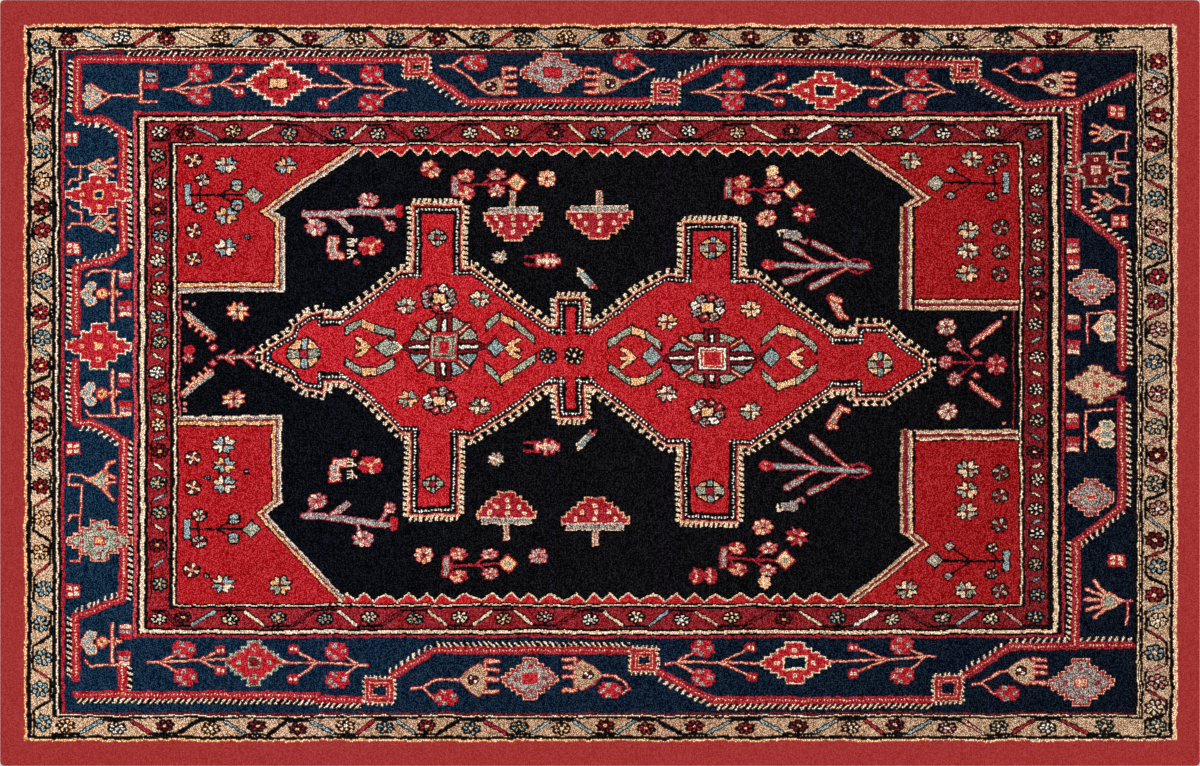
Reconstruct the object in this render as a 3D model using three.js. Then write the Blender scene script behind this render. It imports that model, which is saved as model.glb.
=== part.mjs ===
// A washable printed rug, lying flat on the floor.
// It is one cut length of short-pile cloth: the print, the pile and the turned-over rim
// all belong to that one piece, so it is one solid.
import * as THREE from "three";

// Driving dimensions, in millimetres. X runs along the long side, Y along the short side, Z up.
const RUG_LENGTH = 2400;
const RUG_WIDTH = 1532;
const CLOTH_THICKNESS = 5; // backing cloth and short pile together
const CORNER_RADIUS = 8; // the cut corners are eased so that they can be oversewn
const RIM_ROUNDING = 1.6; // the oversewn rim rolls over by this much, above and below

// How finely the round stretches are divided
const CORNER_STEPS = 8;
const RIM_STEPS = 4;

// The rug's colours: one red surround shows most at the rim
const SURROUND_RED = 0xaa3134;
const CLOTH_ROUGHNESS = 0.95;

// A rectangle about the origin with its corners rounded by arcs.
function roundedRectangle(length, width, radius) {
  const right = length / 2;
  const top = width / 2;
  const outline = new THREE.Shape();
  outline.moveTo(-right + radius, -top);
  outline.lineTo(right - radius, -top);
  outline.absarc(right - radius, -top + radius, radius, -Math.PI / 2, 0, false);
  outline.lineTo(right, top - radius);
  outline.absarc(right - radius, top - radius, radius, 0, Math.PI / 2, false);
  outline.lineTo(-right + radius, top);
  outline.absarc(-right + radius, top - radius, radius, Math.PI / 2, Math.PI, false);
  outline.lineTo(-right, -top + radius);
  outline.absarc(-right + radius, -top + radius, radius, Math.PI, 1.5 * Math.PI, false);
  return outline;
}

// The cloth: a flat slab whose rim is rounded above and below. Its underside is at Z = 0.
function clothGeometry() {
  const inset = 2 * RIM_ROUNDING;
  const outline = roundedRectangle(
    RUG_LENGTH - inset,
    RUG_WIDTH - inset,
    CORNER_RADIUS - RIM_ROUNDING,
  );
  const cloth = new THREE.ExtrudeGeometry(outline, {
    depth: CLOTH_THICKNESS - inset,
    curveSegments: CORNER_STEPS,
    bevelEnabled: true,
    bevelThickness: RIM_ROUNDING,
    bevelSize: RIM_ROUNDING,
    bevelSegments: RIM_STEPS,
  });
  return cloth.translate(0, 0, RIM_ROUNDING);
}

const printedCloth = new THREE.MeshStandardMaterial({
  color: SURROUND_RED,
  roughness: CLOTH_ROUGHNESS,
  metalness: 0,
});

const rug = new THREE.Mesh(clothGeometry(), printedCloth);
rug.name = "rug";

const part = new THREE.Group();
part.add(rug);

export default part;
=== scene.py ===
import bpy
import numpy as np
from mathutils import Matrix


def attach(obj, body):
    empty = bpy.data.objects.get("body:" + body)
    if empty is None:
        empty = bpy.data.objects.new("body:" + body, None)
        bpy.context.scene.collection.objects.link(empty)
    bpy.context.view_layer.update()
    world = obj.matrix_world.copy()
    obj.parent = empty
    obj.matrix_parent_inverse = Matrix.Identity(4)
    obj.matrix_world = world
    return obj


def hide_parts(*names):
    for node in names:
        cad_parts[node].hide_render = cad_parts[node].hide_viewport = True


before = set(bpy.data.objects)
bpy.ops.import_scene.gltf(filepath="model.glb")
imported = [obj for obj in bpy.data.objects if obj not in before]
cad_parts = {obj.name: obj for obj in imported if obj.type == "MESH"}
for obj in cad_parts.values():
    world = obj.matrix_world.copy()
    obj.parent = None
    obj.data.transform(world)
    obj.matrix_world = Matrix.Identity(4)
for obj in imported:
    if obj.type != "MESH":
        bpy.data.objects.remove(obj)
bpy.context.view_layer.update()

# The print. The cloth is white short pile, coloured in one pass with an old hand-knotted village carpet.
# It is drawn as a weaver would chart it, in columns and rows of 2 mm knots, from plain shapes and repeats
# with the unevenness of handwork. Columns count from the left end, rows from the far side.
COLUMNS = 1200
ROWS = 766
CELLS_DOWN = 768  # cells of the chart along the short side, a multiple of four for the cloth's faces
column = np.arange(COLUMNS) + 0.5
row = (np.arange(CELLS_DOWN) + 0.5) * ROWS / CELLS_DOWN
chart = np.zeros((CELLS_DOWN, COLUMNS), np.uint8)

# Each dye as it looks at the left end, in the middle and at the right end, in 8-bit screen values: the
# dye lots of the old carpet drift along its length
DYES = {
    "surround": ((165, 51, 51), (165, 51, 51), (165, 51, 51)),
    "scarlet": ((199, 30, 37), (181, 29, 36), (150, 20, 23)),
    "corner": ((176, 25, 32), (172, 25, 31), (141, 18, 20)),
    "crimson": ((156, 31, 39), (134, 28, 34), (112, 24, 29)),
    "oxblood": ((122, 18, 26), (112, 18, 24), (98, 17, 22)),
    "ribbon": ((172, 32, 46), (158, 30, 41), (142, 30, 40)),
    "rose": ((198, 70, 76), (150, 48, 54), (150, 40, 44)),
    "poppy": ((186, 32, 42), (180, 32, 40), (166, 32, 38)),
    "navy": ((14, 40, 62), (10, 27, 44), (7, 15, 27)),
    "night": ((2, 6, 14), (10, 9, 13), (6, 7, 11)),
    "black": ((13, 10, 12), (13, 9, 11), (13, 9, 9)),
    "cream": ((238, 212, 182), (230, 200, 166), (218, 186, 152)),
    "gold": ((240, 176, 116), (232, 172, 116), (234, 188, 148)),
    "camel": ((206, 168, 134), (172, 132, 102), (178, 144, 114)),
    "blue": ((146, 168, 171), (128, 144, 144), (122, 135, 136)),
    "green": ((154, 160, 140), (150, 150, 130), (146, 140, 120)),
    "peach": ((236, 170, 132), (226, 158, 122), (216, 150, 118)),
    "grey": ((158, 150, 146), (150, 142, 134), (142, 130, 124)),
    "white": ((238, 230, 216), (234, 222, 206), (228, 214, 196)),
    "pink": ((216, 134, 122), (204, 124, 112), (192, 118, 108)),
}
INK = {name: number for number, name in enumerate(DYES)}


def drift(seed, spacing):
    """Smooth chance values over the chart: random numbers `spacing` knots apart, eased from one to
    the next."""
    lattice = (int(ROWS / spacing) + 3, int(COLUMNS / spacing) + 3)
    numbers = np.random.default_rng(seed).uniform(-1, 1, lattice)
    across = column / spacing
    down = row / spacing
    left = across.astype(int)
    top = down.astype(int)
    ease_across = (across - left) ** 2 * (3 - 2 * (across - left))
    ease_down = ((down - top) ** 2 * (3 - 2 * (down - top)))[:, None]
    lines = numbers[top] * (1 - ease_down) + numbers[top + 1] * ease_down
    return lines[:, left] * (1 - ease_across) + lines[:, left + 1] * ease_across


# Where each cell would lie in an even chart: a slow waver of the loom and quicker ones of the hand
WAVERS = (
    # knots from one swing to the next, reach in knots, seeds across and down
    (30, 0.9, 11, 13),
    (7, 0.5, 15, 16),
    (2.6, 0.75, 12, 14),
)
hand_column = column[None, :]
hand_row = row[:, None]
for spacing, reach, seed_across, seed_down in WAVERS:
    hand_column = hand_column + reach * drift(seed_across, spacing)
    hand_row = hand_row + reach * drift(seed_down, spacing)


# The ground of the middle is close black pile, printed first so that all else lies over it.
# A thin red thread runs down each of its ends, where the corner pieces leave it bare.
def near(left, top, right, bottom):
    """The cells of a window, a few knots wider than its bounds: the chart there, and their columns
    and rows."""
    rows = slice(max(int(top) - 5, 0), max(int(bottom) + 7, 0))
    columns = slice(max(int(left) - 5, 0), max(int(right) + 6, 0))
    return chart[rows, columns], hand_column[rows, columns], hand_row[rows, columns]


def block(left, top, right, bottom, ink):
    """Every knot between two columns and two rows."""
    cells, x, y = near(left, top, right, bottom)
    cells[(x > left) & (x < right) & (y > top) & (y < bottom)] = INK[ink]


FIELD = (178, 146.4, 1018.6, 603)  # left column, top row, right column, bottom row
block(0, 0, COLUMNS, ROWS, "night")
block(178.4, 286, 180.4, 420, "rose")
block(1013.2, 306, 1014.8, 434, "crimson")


# The four corner pieces of the ground are scarlet, each cut in by a step, a point and a long slope,
# and edged in lines of black, gold, oxblood, grey and cream.
def clockwise(points):
    """The corners of an outline, turned round where they run the other way."""
    corners = np.array(points, float)
    x, y = corners.T
    swept = np.sum(x * np.roll(y, -1) - np.roll(x, -1) * y)
    return corners if swept > 0 else corners[::-1]


def grow(points, by):
    """An outline moved outwards, its corners kept sharp: upright and level sides by the whole distance,
    slanting ones by less, as a weaver counts knots along rows and columns."""
    corners = clockwise(points)
    ahead = np.roll(corners, -1, 0) - corners
    ahead /= np.linalg.norm(ahead, axis=1, keepdims=True)
    out = np.stack([ahead[:, 1], -ahead[:, 0]], 1)
    step = by * np.abs(out).max(1)
    before = np.roll(out, 1, 0)
    step_before = np.roll(step, 1)
    turn = before[:, 0] * out[:, 1] - before[:, 1] * out[:, 0]
    across = (step_before * out[:, 1] - step * before[:, 1]) / turn
    down = (step * before[:, 0] - step_before * out[:, 0]) / turn
    return corners + np.stack([across, down], 1)


def area(points, ink):
    """Every knot inside an outline: a line from it to the far right crosses the outline an odd number
    of times."""
    corners = np.array(points, float)
    cells, x, y = near(*corners.min(0), *corners.max(0))
    inside = np.zeros(x.shape, bool)
    for (ax, ay), (bx, by) in zip(corners, np.roll(corners, -1, 0)):
        level = by - ay if by != ay else 1.0
        inside ^= ((ay > y) != (by > y)) & (x < ax + (y - ay) * (bx - ax) / level)
    cells[inside] = INK[ink]


LEFT_EDGES = (
    # knots outwards, dye
    (10.8, "cream"), (9.0, "grey"), (6.6, "oxblood"), (4.9, "gold"), (1.7, "black"), (0.0, "corner"),
)
RIGHT_EDGES = (
    (11.8, "camel"), (9.4, "cream"), (8.2, "crimson"), (5.0, "grey"), (3.8, "gold"), (1.9, "black"),
    (0.0, "corner"),
)
MIDDLE_COLUMN = COLUMNS / 2
SLOPE_OVERRUN = 1.4  # the slope runs on under the border by this share of its length
END_OVERRUN = 30
corner_pieces = (
    # end column, side row, slope's end column, point (column, row), step (column, row), flat's row
    (178, 146.4, 350, 256.5, 211, 273.8, 222.5, 281.3),
    (1018.6, 146.4, 861, 933.5, 198, 915.5, 208.5, 298.2),
    (178, 603, 339, 254.5, 513.8, 270.8, 500, 426.6),
    (1018.6, 603, 857, 931, 544, 914.8, 532, 441.8),
)
for end, side, slope, point_x, point_y, step_x, step_y, flat in corner_pieces:
    slope_x = point_x + (slope - point_x) * SLOPE_OVERRUN
    slope_y = point_y + (side - point_y) * SLOPE_OVERRUN
    beyond = end + np.sign(end - MIDDLE_COLUMN) * END_OVERRUN
    outline = [(beyond, slope_y), (slope_x, slope_y), (point_x, point_y), (step_x, step_y), (step_x, flat)]
    outline.append((beyond, flat))
    edges = LEFT_EDGES if end < MIDDLE_COLUMN else RIGHT_EDGES
    for swell, ink in edges:
        area(grow(outline, swell), ink)
# The right pieces' upright edges are wider than their slopes
UPRIGHT_EDGES = (
    # left column, dye
    (899.8, "camel"), (903, "crimson"), (907.6, "grey"), (909.8, "gold"), (912.4, "black"),
)
UPRIGHT_END = 916
for top, bottom in ((206, 309.5), (430.5, 534)):
    for left, ink in UPRIGHT_EDGES:
        block(left, top, UPRIGHT_END, bottom, ink)
block(915.6, 208, 920, 298.4, "corner")
block(915, 441.6, 920, 533, "corner")

# Along both long sides the ground ends in scarlet teeth edged with cream. They are uneven, as the
# weaver's count was: two slow waves shift them along the side.
TEETH = (
    # row of the side, way into the ground, first and last column, pitch
    (146.4, 1, 360, 852, 19.2),
    (603, -1, 345, 848, 20.6),
)
TOOTH_FOOT = 1.2
TOOTH_DEPTH = 7.4
TOOTH_EDGE = 1.8
for base, way, left, right, pitch in TEETH:
    cells, x, y = near(left, base - 20, right, base + 20)
    loose = x + 3 * np.sin(x / 13.7) + 2 * np.sin(x / 31)
    tooth = TOOTH_FOOT + TOOTH_DEPTH * np.abs(np.mod((loose - left) / pitch, 1) * 2 - 1)
    deep = (y - base) * way
    between = (x > left) & (x < right)
    cells[between & (deep < tooth + TOOTH_EDGE)] = INK["cream"]
    cells[between & (deep < tooth)] = INK["scarlet"]


# Flowers are scattered on the corner pieces, round ones and ones of four forked petals, all edged in black.
# In each piece a tree lies on its side: a pot, a stem, leaves and a crown.
LETTERS = {
    # one letter for a dye, to write a flower's petals in a row
    "r": "ribbon",
    "d": "oxblood",
    "c": "cream",
    "w": "white",
    "g": "gold",
    "b": "blue",
    "n": "green",
    "p": "pink",
    "k": "black",
    "y": "grey",
}


def rosette(
    x, y, wide, high, petals, rim="black", heart="oxblood",
    lobes=6, turn=0.0, notch=0.18, seam=1.1, edging=1.7,
):
    """Petals about a heart: an oval whose radius swells once a petal, rimmed, with a seam between petals."""
    cells, across, down = near(x - wide, y - high, x + wide, y + high)
    across = (across - x) * 2 / wide
    down = (down - y) * 2 / high
    size = min(wide, high) / 2
    far = np.hypot(across, down)
    lobe = np.mod((np.arctan2(down, across) / (2 * np.pi) + 1) * lobes + turn, lobes)
    within = lobe - np.floor(lobe) - 0.5
    edge = 1 - notch * (2 * np.abs(within)) ** 2
    cells[far < edge] = INK[rim]
    from_seam = far * size * (0.5 - np.abs(within)) * 2 * np.pi / lobes
    petal = (far < edge - edging / size) & (from_seam > seam / 2)
    for number, ink in enumerate(petals):
        cells[petal & (np.floor(lobe).astype(int) % len(petals) == number)] = INK[ink]
    cells[far < 0.19] = INK[heart]


def four_petal(x, y, wide, high, inks, heart="d", rim="black"):
    """A flower of four forked petals, in two dyes crosswise: a star of eight points with seams
    upright and level."""
    cells, across, down = near(x - wide, y - high, x + wide, y + high)
    across = across - x
    down = down - y
    far = np.hypot(across * 2 / wide, down * 2 / high)
    eighth = np.mod(np.arctan2(down / high, across / wide) * 4 / np.pi + 8, 8)
    edge = 1 - 0.36 * np.abs(np.mod(eighth, 1) * 2 - 1)
    cells[far < edge + 0.04] = INK[rim]
    edging = 3.0 if rim == "black" else 2.0
    petal = (far < edge - edging / high) & (np.abs(across) > 0.8) & (np.abs(down) > 0.8)
    for number, ink in enumerate(inks):
        cells[petal & (eighth.astype(int) % len(inks) == number)] = INK[LETTERS[ink]]
    cells[far < 0.2] = INK[LETTERS[heart]]


def round_flower(x, y, wide=19, high=17, inks="cd", heart="g"):
    """A round flower of eight narrow petals in turn, edged in black."""
    petals = [LETTERS[k] for k in inks]
    rosette(x, y, wide, high, petals, heart=LETTERS[heart], lobes=8, notch=0.14, seam=1.0)


corner_rounds = (
    # column, row
    (193.6, 160), (193.6, 230.3), (193.6, 258.5), (192.5, 457.6), (192.5, 488), (192, 570.7),
)
for x, y in corner_rounds:
    round_flower(x, y)
corner_fours = (
    # column, row, dyes of the petals
    (226, 165, "ccbb"), (285.8, 166, "ggbb"), (226, 215.4, "ggbb"), (226, 247.6, "ccbb"),
    (224, 444, "bbcc"), (224, 465, "ggbb"), (224, 485, "ccbb"), (223, 583.7, "ccbb"), (280.3, 585.3, "ggnn"),
    (910, 160.6, "ccnn"), (972.3, 159, "nncc"), (967.8, 230, "nngg"), (967.2, 250.4, "nncc"),
    (966.7, 273.7, "ggnn"), (967.8, 469, "nncc"), (967.2, 489.7, "ggnn"), (966.7, 511.6, "nncc"),
    (907, 589.7, "ccnn"), (965.7, 590, "nncc"),
)
for x, y, inks in corner_fours:
    four_petal(x, y, 27, 21, inks)
right_rounds = (
    # column, row
    (1000.9, 158.6), (1000.4, 227.4), (1000.4, 251.4), (1000.4, 274.2), (1000.4, 472), (999.9, 496),
    (999.9, 525), (1000.4, 591),
)
for x, y in right_rounds:
    round_flower(x, y, inks="nd", heart="r")
for x, y in ((247, 237), (246, 472), (206.6, 478), (206.6, 576.6)):
    rosette(x, y, 8, 7, ["blue"], lobes=4)


def stroke(points, width, ink, edge=None, edging=1.3):
    """A line of knots along straight stretches: all nearer to a stretch than half the width, edged if
    asked."""
    if edge:
        stroke(points, width + 2 * edging, edge)
    for (ax, ay), (bx, by) in zip(points, points[1:]):
        low = (min(ax, bx) - width, min(ay, by) - width)
        high = (max(ax, bx) + width, max(ay, by) + width)
        cells, x, y = near(*low, *high)
        long = max((bx - ax) ** 2 + (by - ay) ** 2, 1e-6)
        along = np.clip(((x - ax) * (bx - ax) + (y - ay) * (by - ay)) / long, 0, 1)
        cells[np.hypot(x - ax - along * (bx - ax), y - ay - along * (by - ay)) < width / 2] = INK[ink]


def stepped(x, y, boxes, rings, up=1):
    """A stepped figure about a place: the sum of boxes (left, top, right, bottom), laid once for each
    ring."""
    reach = np.abs(np.array(boxes)).max() + 8
    cells, across, down = near(x - reach, y - reach, x + reach, y + reach)
    across = across - x
    down = (down - y) * up
    for swell, ink in rings:
        inside = np.zeros(across.shape, bool)
        for left, top, right, bottom in boxes:
            level = (across > left - swell) & (across < right + swell)
            inside |= level & (down > top - swell) & (down < bottom + swell)
        cells[inside] = INK[ink]


def corner_tree(pot, stem, crown, row_at, fork, leaves, sides, way):
    """A tree on its side: pot bar, black stem, two flowers by the pot, a fork to two leaves and a crown."""
    stepped(pot, row_at, [(-2.8, -10, 2.8, 10)], [(1.4, "black"), (0, "blue")])
    stroke([(pot + 3 * way, row_at), (crown, row_at)], 2.6, "black")
    for x, y in leaves:
        stroke([(fork, row_at), (x, y)], 2.2, "black")
    for x, y in leaves:
        if way > 0:
            rosette(x, y, 18, 13, ["green", "blue"], lobes=2, notch=0.3, seam=1.2)
        else:
            leaf = [(x - 5, y), (x, y - 3.6), (x + 5, y), (x, y + 3.6)]
            area(grow(leaf, 1.8), "black")
            area(leaf, "grey")
    for x, y in sides:
        stroke([(stem, row_at), (x, y)], 2.0, "black")
        wide, high = (18, 14) if way > 0 else (15, 11)
        round_flower(x, y, wide, high, "cbcd", "d")
    diamond = [(crown - 8.5, row_at), (crown, row_at - 7.5), (crown + 8.5, row_at), (crown, row_at + 7.5)]
    area(grow(diamond, 2.0), "black")
    area(diamond, "green")
    area(grow(diamond, -6), "cream")


corner_trees = (
    # columns of pot, stem's foot and crown, row, fork's column, leaves, flowers, way it grows
    (188.2, 200, 253.8, 195, 219, ((237, 185.6), (237, 204.6)), ((203.4, 179.6), (200.7, 207)), 1),
    (187, 198, 251, 529, 217, ((234, 519), (234, 538.5)), ((199, 515), (199.6, 542)), 1),
    (1006.5, 996, 935.6, 183, 972, ((951, 170.8), (950, 196.3)), ((991.7, 169), (992.2, 196.5)), -1),
    (1006, 996, 934, 561, 971, ((949.4, 546.5), (948, 576)), ((992, 547.5), (991.7, 574)), -1),
)
for tree in corner_trees:
    corner_tree(*tree)

# The medallion: two scarlet lozenges joined at a narrow waist, each crossed by an arm, with an arrowhead
# at each end. It is edged with a beaded black band, a crimson and a peach line, forked hooks on the slopes
# and ticks on the arms.
medallion_parts = (
    # kind of edge, corners (column, row)
    ("hooks", (341, 325.5), (401, 279), (472, 275), (552, 336), (552, 376), (472, 430.5), (401, 426),
     (362, 386), (341, 371.5)),
    ("hooks", (594, 334.5), (636, 299.5), (666, 282), (756, 284), (830, 339.5), (830, 383.5), (751, 440),
     (666, 437.5), (594, 378.5)),
    ("ticks", (313, 327), (343, 327), (343, 372), (313, 372)),
    ("ticks", (546, 335), (598, 335), (598, 376.5), (546, 376.5)),
    ("ticks", (826, 344), (866, 344.5), (866, 379.5), (826, 379.5)),
    ("ticks", (422.4, 214.5), (453, 214.5), (449, 506), (418.6, 506)),
    ("ticks", (692.4, 232), (730.4, 232), (728.6, 512), (690.5, 512)),
    ("ticks", (566.3, 307), (575.6, 307), (575.6, 408.6), (566.3, 408.6)),
    ("hooks", (270, 354), (297.5, 336), (300, 328.5), (308, 322.5), (317, 319.5), (317, 383.5), (306, 381.5),
     (298.5, 377), (297, 370.5), (270, 358)),
    ("hooks", (863.2, 332.6), (883, 332.6), (899, 348.6), (921, 361.5), (921, 367.5), (893, 385.5),
     (884.5, 392), (861.8, 392)),
)
MEDALLION_EDGES = {
    # swell of the peach, the crimson and the black line and of the beads, pitch of the beads
    "hooks": (8.6, 6.6, 5.6, 2.7, 3.8),
    "ticks": (10.8, 8.9, 7.4, 4.6, 3.3),
}
MEDALLION_COMBS = {
    # start, reach, pitch, thickness and lean of the teeth
    "hooks": ((0, 6.2, 8.8, 2.4, -0.1), (4.2, 2.2, 8.8, 4.8, -0.5)),
    "ticks": ((0, 5.2, 5.1, 2.9, 0.25),),
}
BEAD_SIZE = 1.9


def beside(points, start, reach):
    """For each stretch of a path: the chart near it, the way along it, the distance to its left, its
    length."""
    for (ax, ay), (bx, by) in zip(points, points[1:]):
        far = abs(start) + abs(reach)
        cells, x, y = near(min(ax, bx) - far, min(ay, by) - far, max(ax, bx) + far, max(ay, by) + far)
        long = np.hypot(bx - ax, by - ay)
        along = ((x - ax) * (bx - ax) + (y - ay) * (by - ay)) / long
        aside = ((x - ax) * (by - ay) - (y - ay) * (bx - ax)) / long
        yield cells, along, aside, long


def comb(points, start, reach, pitch, thick, lean, ink):
    """Teeth along the left side of a path: the first part of every pitch, leaning on as they go out."""
    for cells, along, aside, long in beside(points, start, reach):
        tooth = np.mod(along - lean * (aside - start), pitch) < thick
        cells[tooth & (aside > start) & (aside < start + reach) & (along > 0) & (along < long)] = INK[ink]


def beads(points, start, pitch, size, ink):
    """Dots along the left side of a path, one in the middle of every pitch."""
    for cells, along, aside, long in beside(points, start, size):
        dot = np.hypot(np.mod(along, pitch) - pitch / 2, aside - start) < size / 2
        cells[dot & (along > 0) & (along < long)] = INK[ink]


def ring_of(corners, swell):
    """An outline grown by a distance, as a path that comes back to its start."""
    grown = [tuple(corner) for corner in grow(corners, swell)]
    return [*grown, grown[0]]


for kind, *corners in medallion_parts:
    path = ring_of(corners, MEDALLION_EDGES[kind][0] - 0.6)
    for teeth in MEDALLION_COMBS[kind]:
        comb(path, *teeth, "cream")
for line, ink in enumerate(("peach", "crimson", "black")):
    for kind, *corners in medallion_parts:
        area(grow(corners, MEDALLION_EDGES[kind][line]), ink)
for kind, *corners in medallion_parts:
    swell, pitch = MEDALLION_EDGES[kind][3:]
    beads(ring_of(corners, swell), 0, pitch, BEAD_SIZE, "white")
for kind, *corners in medallion_parts:
    area(corners, "scarlet")
block(265.6, 352.5, 272.6, 360.5, "navy")
beads([(268.5, 352), (268.5, 361)], 0, 4.2, 2.2, "white")


def bracket(points, inks="ngn"):
    """A bent bar of three stretches with upright ends, each in its own dye, edged in black."""
    stretches = list(zip(points, points[1:], inks))
    for swell in (1.7, 0):
        for (ax, ay), (bx, by), ink in stretches:
            start = ax + 0.7
            end = bx - 0.7
            bar = [(start, ay - 3.5), (end, by - 3.5), (end, by + 3.5), (start, ay + 3.5)]
            area(grow(bar, swell), "black" if swell else LETTERS[ink])


def spoke(x, y, long, way, side, tip):
    """A striped spoke both ways from a place, up or along: oxblood, a black slit and a white thread
    in it."""
    for half, ink in ((side, "black"), (side - 1.5, "oxblood"), (0.44 * side, "black"),
                      (0.18 * side, "white")):
        end = long - (side - half)
        taper = [(0, -half), (0.72 * end, -half), (end, -tip * half)]
        taper += [(end, tip * half), (0.72 * end, half), (0, half)]
        for turn in (-1, 1):
            if way == "along":
                area([(x + turn * a, y + b) for a, b in taper], ink)
            else:
                area([(x + b, y + turn * a) for a, b in taper], ink)


def wheel(x, y, wide, high, petals, nest):
    """A flower seen as a wheel: petals in pairs about red stripes, four striped spokes and a square
    heart."""
    rosette(x, y, 2 * wide, 2 * high, petals, lobes=8, turn=0, notch=0.06, seam=1.6)
    for across in (-1, 1):
        for down in (-1, 1):
            start = (x + across * 0.34 * wide, y + down * 0.36 * high)
            end = (x + across * 0.68 * wide, y + down * 0.7 * high)
            stroke([start, end], 5.6, "oxblood", "black", 1.0)
            stroke([start, end], 1.8, "peach")
    spoke(x, y, wide + 5, "along", 7.8, 0.45)
    spoke(x, y, high + 2.8, "up", 8.6, 1)
    for half_wide, half_high, ink in nest:
        stepped(x, y, [(-half_wide, -half_high, half_wide, half_high)], [(0, ink)])


def lily(x, y, way):
    """A hand-like lily facing left or right: a palm that widens to three fingers, edged in black."""
    palm = [(x - 8 * way, y), (x + 3 * way, y - 6.5), (x + 3 * way, y + 6.5)]
    area(grow(palm, 1.6), "black")
    for tip in (-8.5, 1, 9):
        finger = [(x - 1 * way, y + 0.45 * tip), (x + 7.6 * way, y + tip)]
        stroke(finger, 3.6, "gold", "black", 1.3)
    area(palm, "gold")


def gem(x, y, wide, high, inks, rim="black"):
    """A diamond in nested dyes."""
    corners = [(x - wide / 2, y), (x, y - high / 2), (x + wide / 2, y), (x, y + high / 2)]
    area(grow(corners, 2.0), rim)
    for step, ink in enumerate(inks):
        area(grow(corners, -4.4 * step), LETTERS[ink])


def medallion_flower(x, y, inks, wide=12.8, high=10.4):
    """A ragged flower: eight knobbed petals round a gold square, each about a dark red spot."""
    for number, ink in enumerate(inks):
        angle = (number + 0.35) * np.pi / 4
        place = (x + wide * np.cos(angle), y + high * np.sin(angle))
        lot = LETTERS[ink]
        rosette(*place, 14, 11.6, [lot], heart=lot, lobes=4, turn=0.3, notch=0.26, seam=0.0)
        stroke([place, (place[0] + 2.0, place[1] - 0.8)], 2.2, "oxblood" if ink in "wyb" else "pink")
    stepped(x, y, [(-5.4, -4.2, 5.4, 4.2)], [(1.3, "black"), (0, "gold")])


def tip_rosette(x, y, wide, high):
    """A round flower at the medallion's ends and arms: gold quarters, a blue bar and a green one
    crossed, and a red heart."""
    thin = 0.11 * wide
    rosette(x, y, wide, high, ["gold"], lobes=8, notch=0.05, seam=0.0)
    upright = (-0.7 * thin, -0.45 * high, 0.7 * thin, 0.45 * high)
    stepped(x + 0.02 * wide, y, [upright], [(1.6, "black"), (0, "blue")])
    stepped(x, y, [(-0.44 * wide, -thin, 0.45 * wide, thin)], [(1.4, "black"), (0, "green")])
    stepped(x, y, [(-0.9 * thin, -thin, 0.9 * thin, thin)], [(1.4, "black"), (0, "ribbon")])


wheel(
    443.6, 347, 36, 31, ["blue", "blue", "green", "blue", "green", "green", "green", "green"],
    (
        (14.6, 15.4, "black"), (13.4, 14.2, "poppy"), (12.2, 11, "green"), (10, 9.6, "oxblood"),
        (8.6, 8.2, "green"), (4.8, 6.4, "poppy"),
    ),
)
wheel(
    711.6, 358, 44, 27, ["blue", "green", "green", "blue", "blue", "green", "green", "blue"],
    (
        (18.4, 16.6, "black"), (17.4, 15.6, "ribbon"), (14.8, 12.6, "black"), (13.4, 10.8, "white"),
        (11.6, 9, "ribbon"), (9.8, 7.6, "gold"), (8.4, 6.4, "poppy"),
    ),
)
ragged_flowers = (
    # column, row, dyes of the petals
    (439.4, 298, "ywryyrwy"), (439.2, 401, "wyrywryd"), (707, 307.5, "wyrywyry"), (707, 412.6, "ywyrwydr"),
)
for x, y, inks in ragged_flowers:
    medallion_flower(x, y, inks)
tip_rosette(303.6, 353, 35, 33)
tip_rosette(879.8, 363.8, 28.5, 26.5)
for x, y in ((437.2, 237.6), (433, 484)):
    tip_rosette(x, y, 21, 17.5)
for x, y in ((712.5, 248.4), (709.8, 491)):
    tip_rosette(x, y, 30, 22)
for x, y, inks in (
    (406.7, 305.5, "nncc"), (407.3, 398.6, "ggnn"), (480.6, 298.9, "ccnn"), (480.2, 405.9, "nncc"),
    (667.6, 321.5, "ccgg"), (667, 393.8, "ccnn"), (751.3, 308.8, "ccgg"), (750.7, 411, "ccnn"),
):
    four_petal(x, y, 25, 20, inks)
rosette(547, 356, 20, 18, ["blue", "grey", "green", "grey"], heart="pink", lobes=8, notch=0.14, seam=2.6)
rosette(574, 355.6, 22, 19, ["gold", "cream"], heart="cream", lobes=8, notch=0.16, seam=3.6)
medallion_brackets = (
    # ends and bends (column, row)
    [(344.5, 331), (361, 323), (375, 328.5), (395, 333.5)],
    [(345.5, 362.5), (361.5, 372), (376, 371.5), (394.5, 362)],
    [(485.5, 326.5), (500.5, 316.5), (514.5, 324), (534.5, 339.5)],
    [(485.5, 367), (501, 379.5), (514.5, 371.5), (534.5, 358.5)],
    [(608, 345), (630.5, 329), (645.5, 334), (661.5, 345.5)],
    [(608.7, 367), (631, 382), (646.5, 380), (661.5, 371)],
    [(761.5, 341.5), (778.5, 328.5), (797, 334), (817, 350)],
    [(761.5, 373.5), (777.5, 387), (796, 381), (817, 367)],
)
for points in medallion_brackets:
    bracket(points)
lily(364, 347, -1)
gem(387.6, 347.6, 25, 18, "n")
stroke([(394, 342), (401.6, 347.6), (394, 353.2)], 1.8, "cream", "black", 1.0)
stroke([(494, 337.5), (483, 347), (494, 358)], 2.4, "oxblood")
gem(496, 347.4, 17, 18, "b")
lily(512, 348.3, 1)
lily(630, 357, -1)
gem(652, 355.7, 18, 19, "b")
stroke([(652, 345), (663, 356), (652, 367)], 2.0, "oxblood")
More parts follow.
